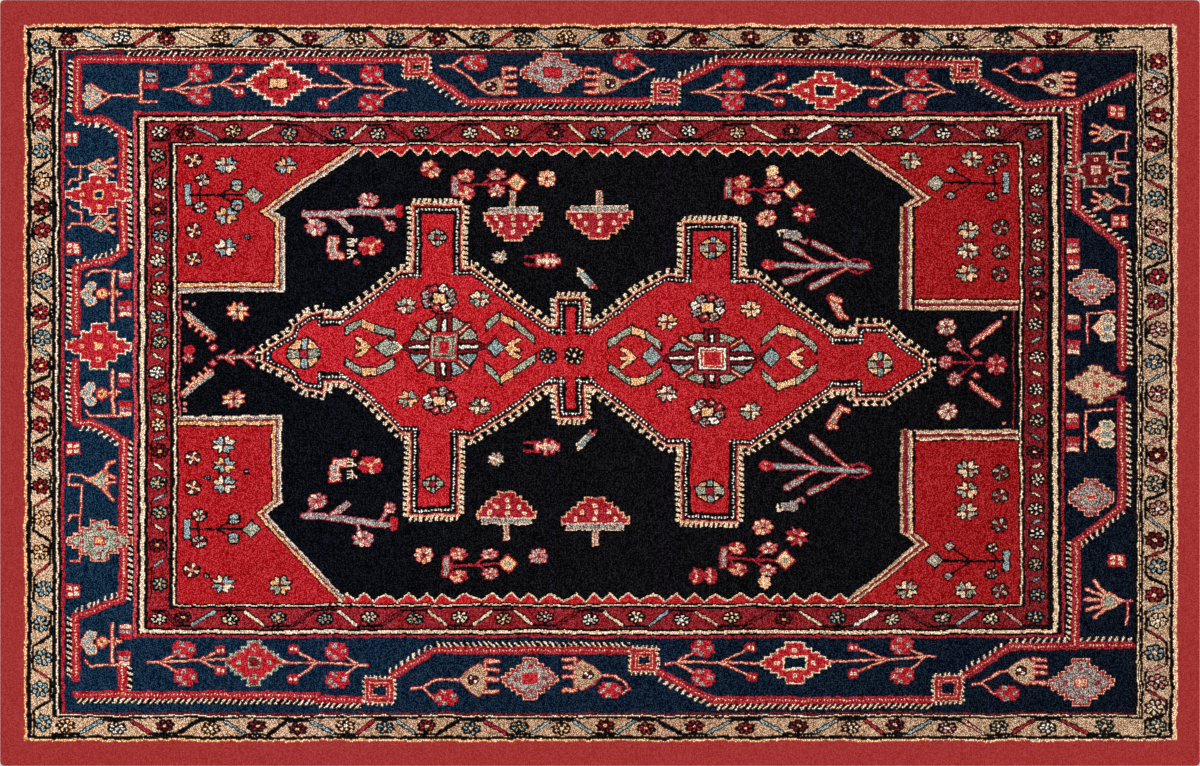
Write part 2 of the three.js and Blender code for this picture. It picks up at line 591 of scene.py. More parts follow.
stroke([(770, 347), (760, 357.6), (770, 368)], 2.0, "oxblood")
gem(771, 357.7, 18, 19, "b")
lily(794, 358, 1)


# Flowers, creatures and fallen branches are strewn on the black ground, each outlined in red as the
# old weavers did. They lie in pairs, one near each long side.
def ground_flower(x, y, wide=21, high=18, inks="cp", heart="d"):
    """A small flower of eight petals, rimmed in red."""
    petals = [LETTERS[k] for k in inks]
    rosette(x, y, wide, high, petals, "ribbon", LETTERS[heart], 8, 0.5, 0.24, 0.9, 0.9)


for x, y, inks in (
    (430.9, 169.6, "pcgr"), (423.9, 555, "pcg"), (547, 178, "gcg"), (537.8, 556, "ypy"),
    (947.4, 326.5, "yc"), (948, 411.5, "cy"), (766, 218.3, "gpc"), (762.7, 527, "gpc"),
):
    ground_flower(x, y, inks=inks)
ground_fours = (
    # column, row, dyes of the petals
    (237.5, 311.6, "ggnc"), (233.7, 399.4, "gnpc"), (804, 212.4, "rprc"), (797, 536.7, "rprc"),
)
for x, y, inks in ground_fours:
    four_petal(x, y, 25, 20, inks, "d", "ribbon")
for x, y in ((370.6, 245.5), (370.4, 465.3)):
    rosette(x, y, 26, 19, ["poppy", "ribbon", "peach"], "poppy", "gold", 9, 0.5, 0.24, 0.9, 0.9)
for x, y in ((499.6, 257), (496.2, 459.5)):
    four_petal(x, y, 17, 14, "cygy", "c", "grey")


def branch(start, end, blossoms, leaf, cap):
    """A fallen branch: a grey bar edged in red, blossoms on short stalks, a leaf and a red cap."""
    along = np.array(end) - np.array(start)
    for x, y, wide, high in blossoms:
        foot = np.dot((x - start[0], y - start[1]), along) / np.dot(along, along)
        root = np.array(start) + np.clip(foot - 0.12, 0, 1) * along
        stroke([tuple(root), (x, y)], 1.8, "grey", "ribbon", 1.1)
    stroke([start, end], 5.4, "grey", "ribbon", 0.9)
    for x, y, wide, high in blossoms:
        rosette(x, y, wide, high, ["grey", "pink", "cream"], "ribbon", "ribbon", 8, 0.2, 0.24, 0.8, 0.9)
    stroke(leaf, 2.4, "grey", "ribbon", 1.2)
    stroke(leaf[1:], 4.4, "grey", "pink", 1.0)
    rosette(*cap, 9, 15, ["poppy"], "poppy", "oxblood", 4)


branch(
    (305, 214.6), (395, 211), ((368.4, 199.5, 22, 15), (315.5, 227.6, 22, 19), (390, 225.7, 13, 12)),
    [(333, 216), (342, 221), (351, 229)], (399, 210.5),
)
branch(
    (303, 514.4), (388, 524.4), ((316.8, 500.8, 21, 17), (362.7, 538.4, 23, 18), (390, 507, 13, 12)),
    [(330, 515), (338, 511), (347, 504)], (394, 523),
)


def creature(x, y, up):
    """A small creature in peach and grey: a broad head, a neck and a foot that reaches forward, as
    little blocks."""
    boxes = [(-7, -11, 4, -4), (-7, -4, 2, 4), (-4, 4, 10, 11)]
    stepped(x, y, boxes, [(1.2, "ribbon"), (0, "peach")], up)
    stepped(x, y, [(-5, -9, 2, -5), (-5, -3, 0, 6), (-1, 6, 6, 9)], [(0, "grey")], up)


creature(334, 248, 1)
creature(336.5, 470.8, -1)
for x, y, way in ((351.8, 241.6, 1), (351.8, 253.6, 1), (351.8, 463, -1), (351.8, 475, -1)):
    stroke([(x + 1, y - 3 * way), (x + 1, y + 3 * way)], 1.6, "cream")
    for prong in (-3, 0, 3):
        stroke([(x - 4, y + prong), (x + 1, y + prong)], 1.5, "cream")
    stroke([(x + 1, y), (x + 5, y - 3 * way)], 1.8, "cream")
for x, y in ((357, 261), (355, 453.6)):
    rosette(x, y, 7, 7, ["peach"], "ribbon", lobes=3)


def field_sprig(pot, pot_row, buds, stem_end, leaves, crown):
    """A flowering sprig on its side: a grey pot, a red stem, buds and leaves in pairs and a diamond
    crown."""
    stroke([(pot, pot_row), stem_end], 2.4, "ribbon")
    for x, y in buds:
        stroke([(x - 9, pot_row), (x, y)], 2.0, "ribbon")
    for x, y in leaves:
        stroke([(x - 14, stem_end[1]), (x, y)], 2.0, "ribbon")
    stepped(pot, pot_row, [(-2.4, -9, 2.4, 9)], [(1.6, "ribbon"), (0, "grey")])
    for x, y in buds:
        rosette(x, y, 19, 14, ["ribbon", "peach", "pink", "gold"], "ribbon", "cream", 7, 0.2, 0.2, 0.6, 1.0)
    for x, y in leaves:
        rosette(x, y, 19, 13, ["pink", "grey", "cream"], "ribbon", "ribbon", 7, 0.1, 0.3, 0.8, 1.0)
    gem(crown, stem_end[1], 18, 16, "gn", "ribbon")


field_sprigs = (
    # pot (column, row), buds, end of the stem, leaves, column of the crown
    (454.7, 186, ((466, 175.4), (466, 192.5)), (510, 182.8), ((497, 174.8), (497, 191)), 516.5),
    (446, 566, ((458, 553.6), (458, 576)), (501, 564), ((489.6, 554), (489.6, 574)), 508),
    (728.6, 188.8, ((742, 181.6), (742.6, 197.5)), (785, 189.8), ((774, 181), (772, 198.6)), 792),
    (724, 558, ((737, 548), (738, 569.3)), (778, 560), ((768, 548.6), (767.4, 570)), 785),
)
for sprig in field_sprigs:
    field_sprig(*sprig)
for x, y in ((772, 171), (764, 582)):
    rosette(x, y, 13, 13, ["cream", "gold"], "gold", "cream", 6, 0.2, 0.3, 0.6)
for way in (-1, 1):
    rosette(703.8 + 7 * way, 576, 15, 18, ["ribbon", "pink"], "ribbon", "cream", 5)


def half_diamond(x, y, wide, way):
    """Half a stepped diamond hung from a bar: five shrinking steps in red, spotted, edged in peach."""
    shares = (0.5, 0.43, 0.35, 0.25, 0.14)
    steps = [
        (-wide * share, 3.4 + 4.9 * k, wide * share, 8.6 + 4.9 * k)
        for k, share in enumerate(shares)
    ]
    stepped(x, y, [(-1.8, -18, 1.8, -3)], [(1.4, "peach"), (0, "grey")], way)
    stepped(x, y, steps, [(1.5, "peach"), (0, "ribbon")], way)
    stepped(x, y, [(-wide * 0.43, -2.6, wide * 0.43, 2.6)], [(0.9, "cream"), (0, "grey")], way)
    spots = ((-0.3, 7.5), (0, 7.5), (0.32, 7.5), (-0.2, 14), (0.02, 14), (0.22, 14), (0, 20.5))
    for across, down in spots:
        rosette(x + across * wide, y + down * way, 5, 5, ["cream"], "cream", "ribbon", 4)


half_diamonds = (
    # column, row, width, way it hangs
    (512.6, 211, 56, 1), (598.8, 209, 65, 1), (506.5, 521, 55, -1), (594.5, 527, 65, -1),
)
for hung in half_diamonds:
    half_diamond(*hung)


def figure(x, y, up):
    """A little figure lying along the ground: a toothed body in cream and pink, two red legs."""
    boxes = [(-7, -5, -3, 5), (-3, -3, 2, 3), (2, -7, 5, 7), (5, -3, 9, 3), (9, -6, 12, 6), (12, -3, 17, 3)]
    stepped(x, y, boxes, [(1.3, "ribbon"), (0, "pink")], up)
    stepped(x, y, [(-6, -1.4, 14, 1.4), (2.6, -4, 4.4, 4)], [(0, "cream")], up)
    for leg in (-4, 4):
        stroke([(x - 7, y + leg), (x - 18, y + leg)], 2.6, "ribbon")


figure(543, 261, 1)
figure(541.8, 446.8, -1)
for x, y, way in ((586, 278.6, 1), (584.6, 440, -1)):
    stroke([(x - 5, y - 6 * way), (x + 6, y + 6 * way)], 6.4, "blue")
    stroke([(x - 8, y - 4 * way), (x - 7, y - 10 * way), (x - 3, y - 8 * way)], 2.2, "cream")
    stroke([(x + 6, y + 6 * way), (x + 11, y + 9 * way)], 3.4, "ribbon")
    stroke([(x + 5, y + 9 * way), (x + 10, y + 6 * way)], 2.0, "pink")
    stroke([(x - 5, y - 3 * way), (x + 1, y + 5 * way)], 1.6, "cream")
for x, y, way in ((790, 233.6, 1), (787, 506.8, -1)):
    stepped(x, y, [(-6, -4, 8, 4), (2, -2, 11, 6)], [(0, "grey")], way)
    stroke([(x - 6, y - 3 * way), (x - 10, y - 3 * way), (x - 9, y + 1 * way)], 2.4, "cream")
    stroke([(x + 10, y + 6 * way), (x + 15, y + 8 * way), (x + 17, y + 5 * way)], 2.2, "grey", "ribbon", 0.9)


def great_branch(start, end, shoots):
    """A great branch: a blue trunk edged in red, shoots that run back from it and swell to grey
    leaves, and a bud at its end."""
    for edge, swell in (("ribbon", 2.4), ("", 0)):
        for root, tip in shoots:
            half = (0.45 * root[0] + 0.55 * tip[0], 0.45 * root[1] + 0.55 * tip[1])
            stroke([root, half], 1.6 + swell, edge or "pink")
            stroke([half, tip], 4.8 + swell, edge or "grey")
        stroke([start, end], 4.0 + swell, edge or "blue")
    rosette(start[0] - 5, start[1], 15, 11, ["poppy", "pink"], "poppy", "ribbon", 5)


great_branch(
    (774, 265), (866, 266),
    (((818, 263), (787, 244)), ((850, 263), (813, 242)), ((818, 268), (786, 282.5)),
     ((848, 269), (812, 286))),
)
great_branch(
    (772, 465.4), (866, 471),
    (((818, 465), (785, 442.5)), ((848, 467), (812, 438)), ((818, 470), (786, 487.5)),
     ((846, 474), (810, 493))),
)
for x, y, way in ((858, 259.5, -1), (858, 272.5, 1), (859, 464, -1), (859, 477.5, 1)):
    twig = [(x - 8, y - 1 * way), (x, y + 0.6 * way), (x + 6, y - 1.6 * way), (x + 12, y - 5 * way)]
    stroke(twig, 2.2, "ribbon")
for x, y, lean in ((836, 307, 5), (836, 417, -5)):
    stroke([(x - lean, y - 9), (x + lean, y + 9)], 6, "peach", "ribbon", 1.4)
    stroke([(x - lean, y - 8), (x + lean, y + 8)], 2.4, "grey")
    stroke([(x - lean, y - 9), (x - lean + 8, y - 6)], 4, "peach", "ribbon", 1.2)
    stroke([(x + lean, y + 8), (x + lean + 6, y + 11)], 2.6, "peach", "ribbon", 1.0)


# The bare wedges at both ends of the ground, between the corner pieces and the medallion's points, hold
# slanting leaf bars, small buds and flowers on thin red stems.
def leaf_bar(start, end, up):
    """A slanting leaf: a grey line and a peach one side by side, edged in red with small prongs."""
    stroke([start, end], 6.6, "ribbon")
    stroke([(start[0] + 1.4, start[1] - 1.4 * up), (end[0] + 1.4, end[1] - 1.4 * up)], 3.2, "grey")
    stroke([(start[0] - 1, start[1] + 1.2 * up), (end[0] - 1, end[1] + 1.2 * up)], 3.2, "peach")
    for share in (0.3, 0.5, 0.72, 0.94):
        x = start[0] + share * (end[0] - start[0])
        y = start[1] + share * (end[1] - start[1])
        stroke([(x - 1, y + up), (x - 4, y + 5.4 * up)], 2.2, "peach", "ribbon", 0.8)


leaf_bar((185, 313), (213, 337), 1)
leaf_bar((184, 394.6), (211, 372), -1)
leaf_bar((999, 322.4), (974, 341), 1)
leaf_bar((998, 404), (973, 386), -1)
for edge, swell in (("ribbon", 2.4), ("", 0)):
    stroke([(219, 357), (253, 357.6)], 2.6 + swell, edge or "green")
    for x, reach in ((226, 7), (243, 10)):
        for way in (-1, 1):
            stroke([(x, 357 + way), (x + reach, 357 + way * 0.95 * reach)], 1.4 + swell, edge or "pink")
for x, y in ((213.4, 347), (212.8, 363), (975.9, 352.2), (975.9, 374.3)):
    gem(x, y, 6, 5, "p", "ribbon")
rosette(189.6, 349, 12, 9, ["poppy"], "poppy", "ribbon", 3)
ground_flower(188.6, 357.6, 12, 10, "yp")
for x, y in ((954.3, 345.2), (945.3, 361.5), (954.3, 378.5)):
    stroke([(x, y), (976, 362.4)], 2.0, "ribbon")
    ground_flower(x, y, 16, 14, "yp")
stroke([(945, 362), (990, 363)], 2.2, "ribbon")
ground_flower(996.3, 364, 23, 21, "rp")
for x, y in ((185.5, 301), (194, 304), (185.5, 403.7), (185, 410), (1005, 317), (1005, 424)):
    block(x - 2, y - 1.4, x + 2, y + 1.4, "pink")


# The borders are rows of knots run all the way round: thin lines in black, cream, gold and red, a
# crimson guard, a broad navy border, a camel guard and, outside them all, the plain red surround.
# The table gives the outer bounds of each, from the surround in.
frame_lines = (
    # left column, top row, right column, bottom row, dye
    (-9, -9, 1209, 775, "surround"),
    (24.2, 24.4, 1177.2, 741.2, "gold"),
    (26.9, 27, 1173, 739.2, "black"),
    (31.4, 30, 1169.2, 735.9, "camel"),
    (51.9, 46.7, 1142.8, 718.4, "black"),
    (56.2, 48.6, 1140.4, 716.2, "cream"),
    (58.1, 49.7, 1137.4, 715.1, "black"),
    (61.3, 51, 1135.2, 714, "ribbon"),
    (64.4, 52.8, 1133.4, 712.6, "navy"),
    (133.7, 111.9, 1064.4, 637.7, "ribbon"),
    (136.6, 114.6, 1061.5, 635.2, "black"),
    (140.4, 117.2, 1057.6, 633.2, "cream"),
    (144.6, 120.2, 1053, 630.3, "black"),
    (148.2, 122.1, 1047.4, 628, "crimson"),
    (169.2, 141.4, 1025, 608, "black"),
    (173.5, 143.6, 1022.1, 605.6, "cream"),
    (175.6, 144.7, 1020.3, 604.5, "black"),
)


def framed(left, top, right, bottom):
    """Where the whole chart lies between two columns and two rows."""
    return (hand_column > left) & (hand_column < right) & (hand_row > top) & (hand_row < bottom)


inside = framed(*FIELD)
for *bounds, ink in reversed(frame_lines):
    within = framed(*bounds)
    chart[within & ~inside] = INK[ink]
    inside = within
# Lines that run along one side alone
side_lines = (
    # left column, top row, right column, bottom row, dye
    (1138.7, 50, 1139.9, 716, "black"),
    (65, 51, 1135, 52.8, "oxblood"),
    (65, 712.6, 1135, 714, "oxblood"),
    (1133.2, 51, 1135.4, 714, "black"),
    (133.7, 112, 137.2, 637, "rose"),
)
for line in side_lines:
    block(*line)


# The two guards are narrow borders, one of camel wool and one of crimson. In each a black vine runs round,
# with a small flower in every bend and a coloured bar on every slant.
def vine(
    upright, middle, swing, places, flowers, slants, wide, high,
    first=1, flat=0.26, line=2.9, slant=4.8, trim=0.1, seam=1.8,
):
    """A guard's vine: it runs flat past each flower, on either side in turn, and slants across
    between them."""
    turns = np.array(places, float)
    gaps = np.diff(turns)
    reach = flat * np.minimum(np.append(gaps[0], gaps), np.append(gaps, gaps[-1]))
    sides = middle + swing * first * (-1) ** np.arange(len(turns))

    def at(along, across):
        """The column and row of a place along the guard and across it."""
        return (across, along) if upright else (along, across)

    for k, s in enumerate(turns):
        stroke([at(s - reach[k], sides[k]), at(s + reach[k], sides[k])], line, "black")
        stroke([at(s, sides[k]), at(s, middle)], 0.8 * line, "black")
    for k in range(len(gaps)):
        start = np.array(at(turns[k] + reach[k], sides[k]))
        end = np.array(at(turns[k + 1] - reach[k + 1], sides[k + 1]))
        stroke([tuple(start), tuple(end)], line, "black")
        near_end = tuple(start + trim * (end - start))
        far_end = tuple(end - trim * (end - start))
        stroke([near_end, far_end], slant, "black")
        stroke([near_end, far_end], slant / 2, LETTERS[slants[k % len(slants)]])
    for k, s in enumerate(turns):
        x, y = at(s, middle - 0.15 * (sides[k] - middle))
        lot = LETTERS[flowers[k % len(flowers)]]
        heart = "gold" if lot in ("ribbon", "oxblood", "blue", "green") else "white"
        rosette(x, y, wide, high, [lot], "black", heart, 7, k % 3 / 3, 0.24, seam, 2.0)


# The camel guard: places of the flowers along the side, then the dyes of the flowers and of the bars
vine(
    False, 38.4, 7.0,
    (68.4, 121, 167, 220.6, 265, 310, 356, 395, 437.5, 480, 524, 566, 611, 656.5, 698, 750.5, 801.7,
     855, 910, 956, 1003, 1053, 1104),
    "rwrgrrgbrbngrrrrdpdpnrn", "brcbkbrrkrbbbkbbbrbprr", 21, 14, first=-1,
)
vine(
    False, 727, 7.2,
    (65.6, 116.8, 164.5, 211.5, 256.5, 297.9, 345.6, 385.6, 426.3, 471.2, 518.9, 561, 605.2, 646.7,
     693.7, 745.6, 798.9, 850.9, 895.8, 947, 998.2, 1047.2, 1104),
    "gwdgddgbrbngdrrrdgdpnwn", "brkbkbrbkrbbbkbbbrbprr", 21, 14,
)
vine(
    True, 41.8, 8.4,
    (46.7, 74.7, 96, 123.8, 150.6, 180.2, 207.2, 230.2, 257.3, 281.8, 312.4, 337, 366, 393.7, 424.8,
     453.9, 486, 518.8, 551.4, 588.2, 623.7, 657.4, 689.6, 723.3),
    "bbrrbgdrcbrbrrrrdggbbbbb", "rkrbkrkw", 19, 18, flat=0.34, line=2.4, slant=3.6, trim=0.2,
)
vine(
    True, 1156, 10.5,
    (60.8, 85, 115, 143.7, 170.5, 198, 226.8, 251.5, 276.7, 300.8, 329.5, 361.7, 394.4, 426.6, 455.3,
     484, 508.7, 539.7, 566, 594.8, 620.6, 652.5, 681.8, 707.3, 727),
    "rprrnbpbrrpbpndnpdbrcbpcn", "brkbrprk", 22, 18, first=-1, flat=0.34, line=2.7, slant=3.8, trim=0.16,
)
# The crimson guard: the same vine, with more of the pale dyes
vine(
    False, 132.4, 7.6,
    (160, 185.6, 233, 288.8, 337.9, 377.9, 421.3, 469.8, 512.6, 555.4, 597.5, 643.9, 688.8, 737.2,
     791.2, 845.3, 895, 942.8, 992.6, 1034.7),
    "cdgnbcncgdbcwgdbcwcb", "dbcdcddcdcbpdcwdbpd", 20, 14,
)
vine(
    False, 618, 7.8,
    (158.9, 183.5, 230.5, 277.5, 325.2, 369.4, 414.3, 460, 503.5, 544.9, 590.5, 636, 681.7, 731.5,
     784.2, 838, 892.3, 942.8, 990.5, 1035),
    "cdcnbcncgpwcwgdbcncb", "dbcdcdcccdcbpdcwdbp", 20, 14, first=-1,
)
vine(
    True, 158.8, 7.6,
    (155.2, 182.8, 209.8, 235.3, 260.9, 288, 316.5, 341.5, 372.2, 398.8, 425.3, 450.8, 482.4, 511.6,
     545.3, 584),
    "ncdbcgbnwngdnndn", "dcbcbcbc", 19, 16, flat=0.38, line=1.4, slant=4.2, trim=0.26, seam=1.9,
)
vine(
    True, 1036.4, 7.0,
    (159.6, 190, 218.7, 245, 271, 294, 323.8, 357, 389.8, 420.8, 451.8, 479.4, 508.7, 534, 563.8,
     594.8),
    "ccncbdccwndccwnb", "cbccbcbc", 18, 15, flat=0.4, line=1.4, slant=4.2, trim=0.3, seam=2.3,
)

# The navy border. A red ribbon with a pale stitched heart wanders along it from one edge to the other,
# with a comb of cream teeth on one side: ladders on the short sides, leaning teeth on the long sides
# and hooks on the slopes.
COMBS = {
    # width of the ribbon, then reach, pitch, thickness and lean of the teeth, and the dye between them
    "ladder": (9.0, 4.8, 5.6, 2.4, 0.4, "night"),
    "rope": (6.8, 4.6, 6.0, 1.5, 0.9, "night"),
    "low rope": (7.6, 5.0, 6.0, 2.3, 0.9, "night"),
    "back rope": (7.4, 4.8, 6.0, 2.1, -0.9, "night"),
    "hooks": (7.4, 4.8, 6.8, 2.4, 0.5, None),
    "plain": (7.8, 0.0, 8.0, 0.0, 0.0, None),
}
ribbons = (
    # comb, its side (1 is the left of the way along), turns (column, row)
    ("ladder", 1, (77, 114), (77, 60)),
    ("plain", 1, (77, 60), (124, 60)),
    ("rope", 1, (124, 60), (404, 60)),
    ("hooks", -1, (77, 115), (83, 119), (98.6, 118.2), (109.8, 122.4), (122.6, 131)),
    ("ladder", 1, (122.6, 131), (122.6, 250)),
    ("hooks", -1, (122.6, 250), (106.7, 261.4), (91.4, 263.5), (77, 268.6)),
    ("ladder", -1, (76, 268.6), (76, 330)),
    ("ladder", -1, (76, 363), (76, 422)),
    ("hooks", -1, (76, 422), (91.4, 423.3), (104.7, 428.4), (122.6, 440.6)),
    ("ladder", 1, (123, 440), (123, 600)),
    ("hooks", -1, (123, 599), (98.6, 608), (76, 616.7)),
    ("ladder", -1, (75.7, 616), (75.7, 677)),
    ("ladder", 1, (123, 666), (123, 694)),
    ("low rope", -1, (76, 694), (318, 695.4)),
    ("low rope", -1, (318, 699.4), (362, 700)),
    ("hooks", 1, (391, 677), (434, 651)),
    ("back rope", 1, (434, 651), (630, 650)),
    ("hooks", -1, (659, 671.6), (714, 701)),
    ("low rope", -1, (714, 700.4), (934, 700.3)),
    ("hooks", 1, (961.7, 678.6), (1008, 648.4)),
    ("hooks", 1, (1008, 647.4), (1076, 646)),
    ("hooks", 1, (1079, 645), (1132, 645)),
    ("ladder", 1, (1076, 646), (1076, 542)),
    ("hooks", -1, (1077, 542), (1122, 505.3)),
    ("ladder", -1, (1121.6, 506), (1121.6, 402)),
    ("ladder", -1, (1122.7, 366), (1122.7, 248)),
    ("hooks", 1, (1077, 210), (1122.7, 248)),
    ("ladder", 1, (1077, 210), (1077, 103)),
    ("hooks", -1, (978.6, 80.3), (1024, 105.6), (1077, 103)),
    ("hooks", -1, (1077, 103), (1132.6, 75.5)),
    ("hooks", 1, (678.9, 81.7), (723.8, 61)),
    ("rope", 1, (723.8, 61.5), (952, 64)),
    ("hooks", -1, (427.7, 73.3), (470.5, 102)),
    ("rope", -1, (470.5, 101.5), (652, 100.7)),
)
STITCH_SPACING = 3.2
for style, side, *turns in ribbons:
    width, reach, pitch, thick, lean, between = COMBS[style]
    path = turns[::side]
    if between:
        comb(path, width / 2 - 1, reach + 1.2, pitch, pitch + 1, 0, between)
    comb(path, width / 2 - 1, reach + 1, pitch, thick, lean, "cream")
for style, side, *turns in ribbons:
    stroke(turns, COMBS[style][0], "ribbon")
for style, side, *turns in ribbons:
    size = 2.2 if style == "ladder" else 1.7
    beads(turns, 0, STITCH_SPACING, size, "peach")

# Where the ribbon turns, it ends in a square of nested lines
SQUARE_RINGS = (
    # knots inwards, dye
    (0, "peach"), (0.9, "ribbon"), (4.2, "peach"), (5.2, "ribbon"), (7.6, "peach"), (8.2, "navy"),
)


def turn_square(x, y, wide, high):
    """A square where the ribbon turns: cream teeth outside, then red with two pale lines and a navy
    heart."""
    left = x - wide / 2
    right = x + wide / 2
    top = y - high / 2
    bottom = y + high / 2
    square = [(left, top), (right, top), (right, bottom), (left, bottom)]
    comb([*square, square[0]], 0, 2.6, 4.8, 2.0, 0.3, "cream")
    for inset, ink in SQUARE_RINGS:
        area(grow(square, -inset), ink)


turn_squares = (
    # column, row, width, height
    (416.4, 66.3, 25, 20), (665.6, 92.3, 26, 21), (965.9, 69.8, 26, 20),
    (947.7, 689, 28, 26), (643.9, 659.6, 26, 24), (378.6, 690.4, 29, 25),
)
for square in turn_squares:
    turn_square(*square)


# Stars stand along the middle of the border, each stepped in from its points, with spots about a nested
# heart. A star's steps are half widths and half heights, as shares of its own width and height.
FULL = ((0.5, 0.1), (0.42, 0.19), (0.33, 0.27), (0.22, 0.37), (0.12, 0.5))
STAIR = ((0.5, 0.08), (0.44, 0.16), (0.35, 0.25), (0.25, 0.35), (0.14, 0.5))
SLIM = ((0.5, 0.1), (0.41, 0.17), (0.28, 0.33), (0.14, 0.5))
CROSS = ((0.5, 0.14), (0.3, 0.23), (0.2, 0.5))


def border_star(x, y, wide, high, steps, rings, heart, hearts, spot):
    """A stepped star: boxes, each narrower and taller than the last, edged, with spots and a nested
    heart."""
    edging = rings[0][0]
    boxes = []
    for a, b in steps:
        half_wide = wide * a - edging
        half_high = high * b - edging
        boxes.append((-half_wide, -half_high, half_wide, half_high))
    stepped(x, y, [box for box in boxes if box[3] > 0.5], rings)
    for across, down in ((-0.25, 0), (0.25, 0), (0, -0.3), (0, 0.3)):
        spot_rings = [(0, spot), (-1.5, rings[-1][1])]
        stepped(x + across * wide, y + down * high, [(-2.3, -2.0, 2.3, 2.0)], spot_rings)
    stepped(x, y, [(-heart[0] / 2, -heart[1] / 2, heart[0] / 2, heart[1] / 2)], hearts)


RED_STAR = ((1.4, "cream"), (0, "poppy"))
GREY_STAR = ((2.6, "peach"), (1.5, "ribbon"), (0, "grey"))
GREEN_STAR = ((2.6, "peach"), (1.5, "ribbon"), (0, "green"))
GOLD_HEART = ((0, "black"), (-1.6, "gold"))
RED_HEART = ((0, "peach"), (-1.2, "poppy"))
NAVY_HEART = ((0, "cream"), (-1.8, "navy"))
border_stars = (
    # column, row, width, height, steps, edges and body, heart's width and height, its dyes, spots' dye
    (278.8, 83.6, 65, 45, FULL, ((2.0, "cream"), (0, "poppy")), (20, 12), GOLD_HEART, "oxblood"),
    (552.6, 72.8, 64, 40, STAIR, GREY_STAR, (18, 11), ((0, "oxblood"), (-1.2, "poppy")), "ribbon"),
    (825, 91, 74, 38, STAIR, RED_STAR, (22, 13), NAVY_HEART, "cream"),
    (1096.3, 170, 62, 35, CROSS, ((2.2, "green"), (0, "oxblood")), (10, 9), ((0, "peach"), (-2.2, "grey")),
     "peach"),
    (1091.3, 287, 52, 35, STAIR, GREY_STAR, (8, 7), RED_HEART, "ribbon"),
    (1096, 384.5, 62, 40, STAIR, ((1.2, "oxblood"), (0, "camel")), (9, 8), RED_HEART, "poppy"),
    (1091.3, 497, 51, 37, STAIR, GREY_STAR, (9, 6), RED_HEART, "pink"),
    (1081.3, 682.5, 67, 47, STAIR, GREY_STAR, (14, 9), ((0, "ribbon"), (-1.4, "peach")), "ribbon"),
    (795, 663, 70, 42, STAIR, RED_STAR, (24, 14), NAVY_HEART, "cream"),
    (530, 679, 57, 42, STAIR, GREY_STAR, (17, 11), ((0, "poppy"),), "ribbon"),
    (254.5, 663, 58, 46, FULL, ((2.6, "green"), (0, "poppy")), (12, 11), ((0, "green"), (-1.6, "oxblood")),
     "green"),
    (98.6, 194.6, 67, 39, SLIM, RED_STAR, (11, 9), ((0, "gold"), (-1.8, "navy")), "peach"),
    (99, 346, 66, 48, SLIM, RED_STAR, (8, 7), ((0, "gold"),), "peach"),
    (99.6, 540.7, 66, 42, SLIM, GREEN_STAR, (10, 9), ((0, "ribbon"), (-1.5, "gold")), "ribbon"),
)
for star in border_stars:
    border_star(*star)
for y in (376, 397):
    stroke([(1108, y), (1124, y)], 2.0, "ribbon")


# Sprigs lie between the stars, each a thin stem with two red buds on one fork and two small flowers on
# the next. Goblet flowers on shorter sprigs fill the spaces beside the ribbon's turns.
def stem(*points):
    """A thin pale stem with a red edge."""
    stroke(points, 1.5, "peach", "ribbon", 0.7)


def bud(x, y, wide=23, high=17):
    """A bud: a red block with its corners cut, and four grey spots."""
    boxes = [(-wide / 2, -high * 0.28, wide / 2, high * 0.28),
             (-wide * 0.34, -high / 2, wide * 0.34, high / 2)]
    stepped(x, y, boxes, [(0, "poppy")])
    for across, down in ((-0.1, -0.33), (0.3, -0.03), (-0.06, 0.35), (-0.3, 0.08)):
        stepped(x + across * wide, y + down * high, [(-2.7, -2.0, 2.7, 2.0)], [(0, "grey")])


def small_flower(x, y):
    """A small red flower with two cream spots."""
    rosette(x, y, 13, 11, ["poppy"], "ribbon", "ribbon", 4, 0, 0.2)
    stepped(x, y, [(-3.4, -1.6, -0.8, 1.4), (1.2, -1.4, 3.6, 1.8)], [(0, "cream")])


border_sprigs = (
    # tip, first fork, buds, second fork, flowers, end
    ((163.8, 88.8), (173.6, 88.8), ((200.3, 73.3), (200.3, 95.8)), (220.6, 84.5),
     ((238.5, 71), (238.5, 92.5)), (253, 84)),
    ((406, 89.5), (396, 88.8), ((370.8, 74), (370.8, 102)), (354, 86), ((324.5, 68.4), (322.4, 102.8)),
     (312, 85)),
    ((692, 91.6), (702, 91), ((734.4, 78.2), (733, 102)), (752, 91.6), ((780.7, 78.2), (779.3, 102)),
     (788, 91.6)),
    ((955, 92.3), (947, 90), ((916.8, 77.5), (915.4, 102)), (903.5, 88.8), ((875.4, 72.6), (873.3, 102)),
     (862, 88)),
    ((935, 657), (926, 657), ((901.5, 645.6), (902, 675.8)), (887.3, 659), ((853, 647), (853, 673)),
     (829, 661)),
    ((665.6, 663.8), (676, 663), ((702.8, 648.4), (703.5, 678)), (721, 662), ((749.8, 647), (751.9, 677)),
     (761, 663)),
    ((368, 665.2), (359, 665), ((337.2, 652), (337.2, 680)), (318.2, 663), ((293.7, 648.4), (293, 679)),
     (282, 662)),
    ((148.4, 663), (160.3, 662.3), ((184.2, 649.6), (185.6, 677)), (199.6, 660),
     ((220.6, 651), (220.6, 671)), (228, 660)),
)
for tip, fork, buds, second, flowers, end in border_sprigs:
    stem(tip, fork, second, end)
    for place in buds:
        stem(fork, place)
    for place in flowers:
        stem(second, place)
    for place in buds:
        bud(*place)
    for place in flowers:
        small_flower(*place)


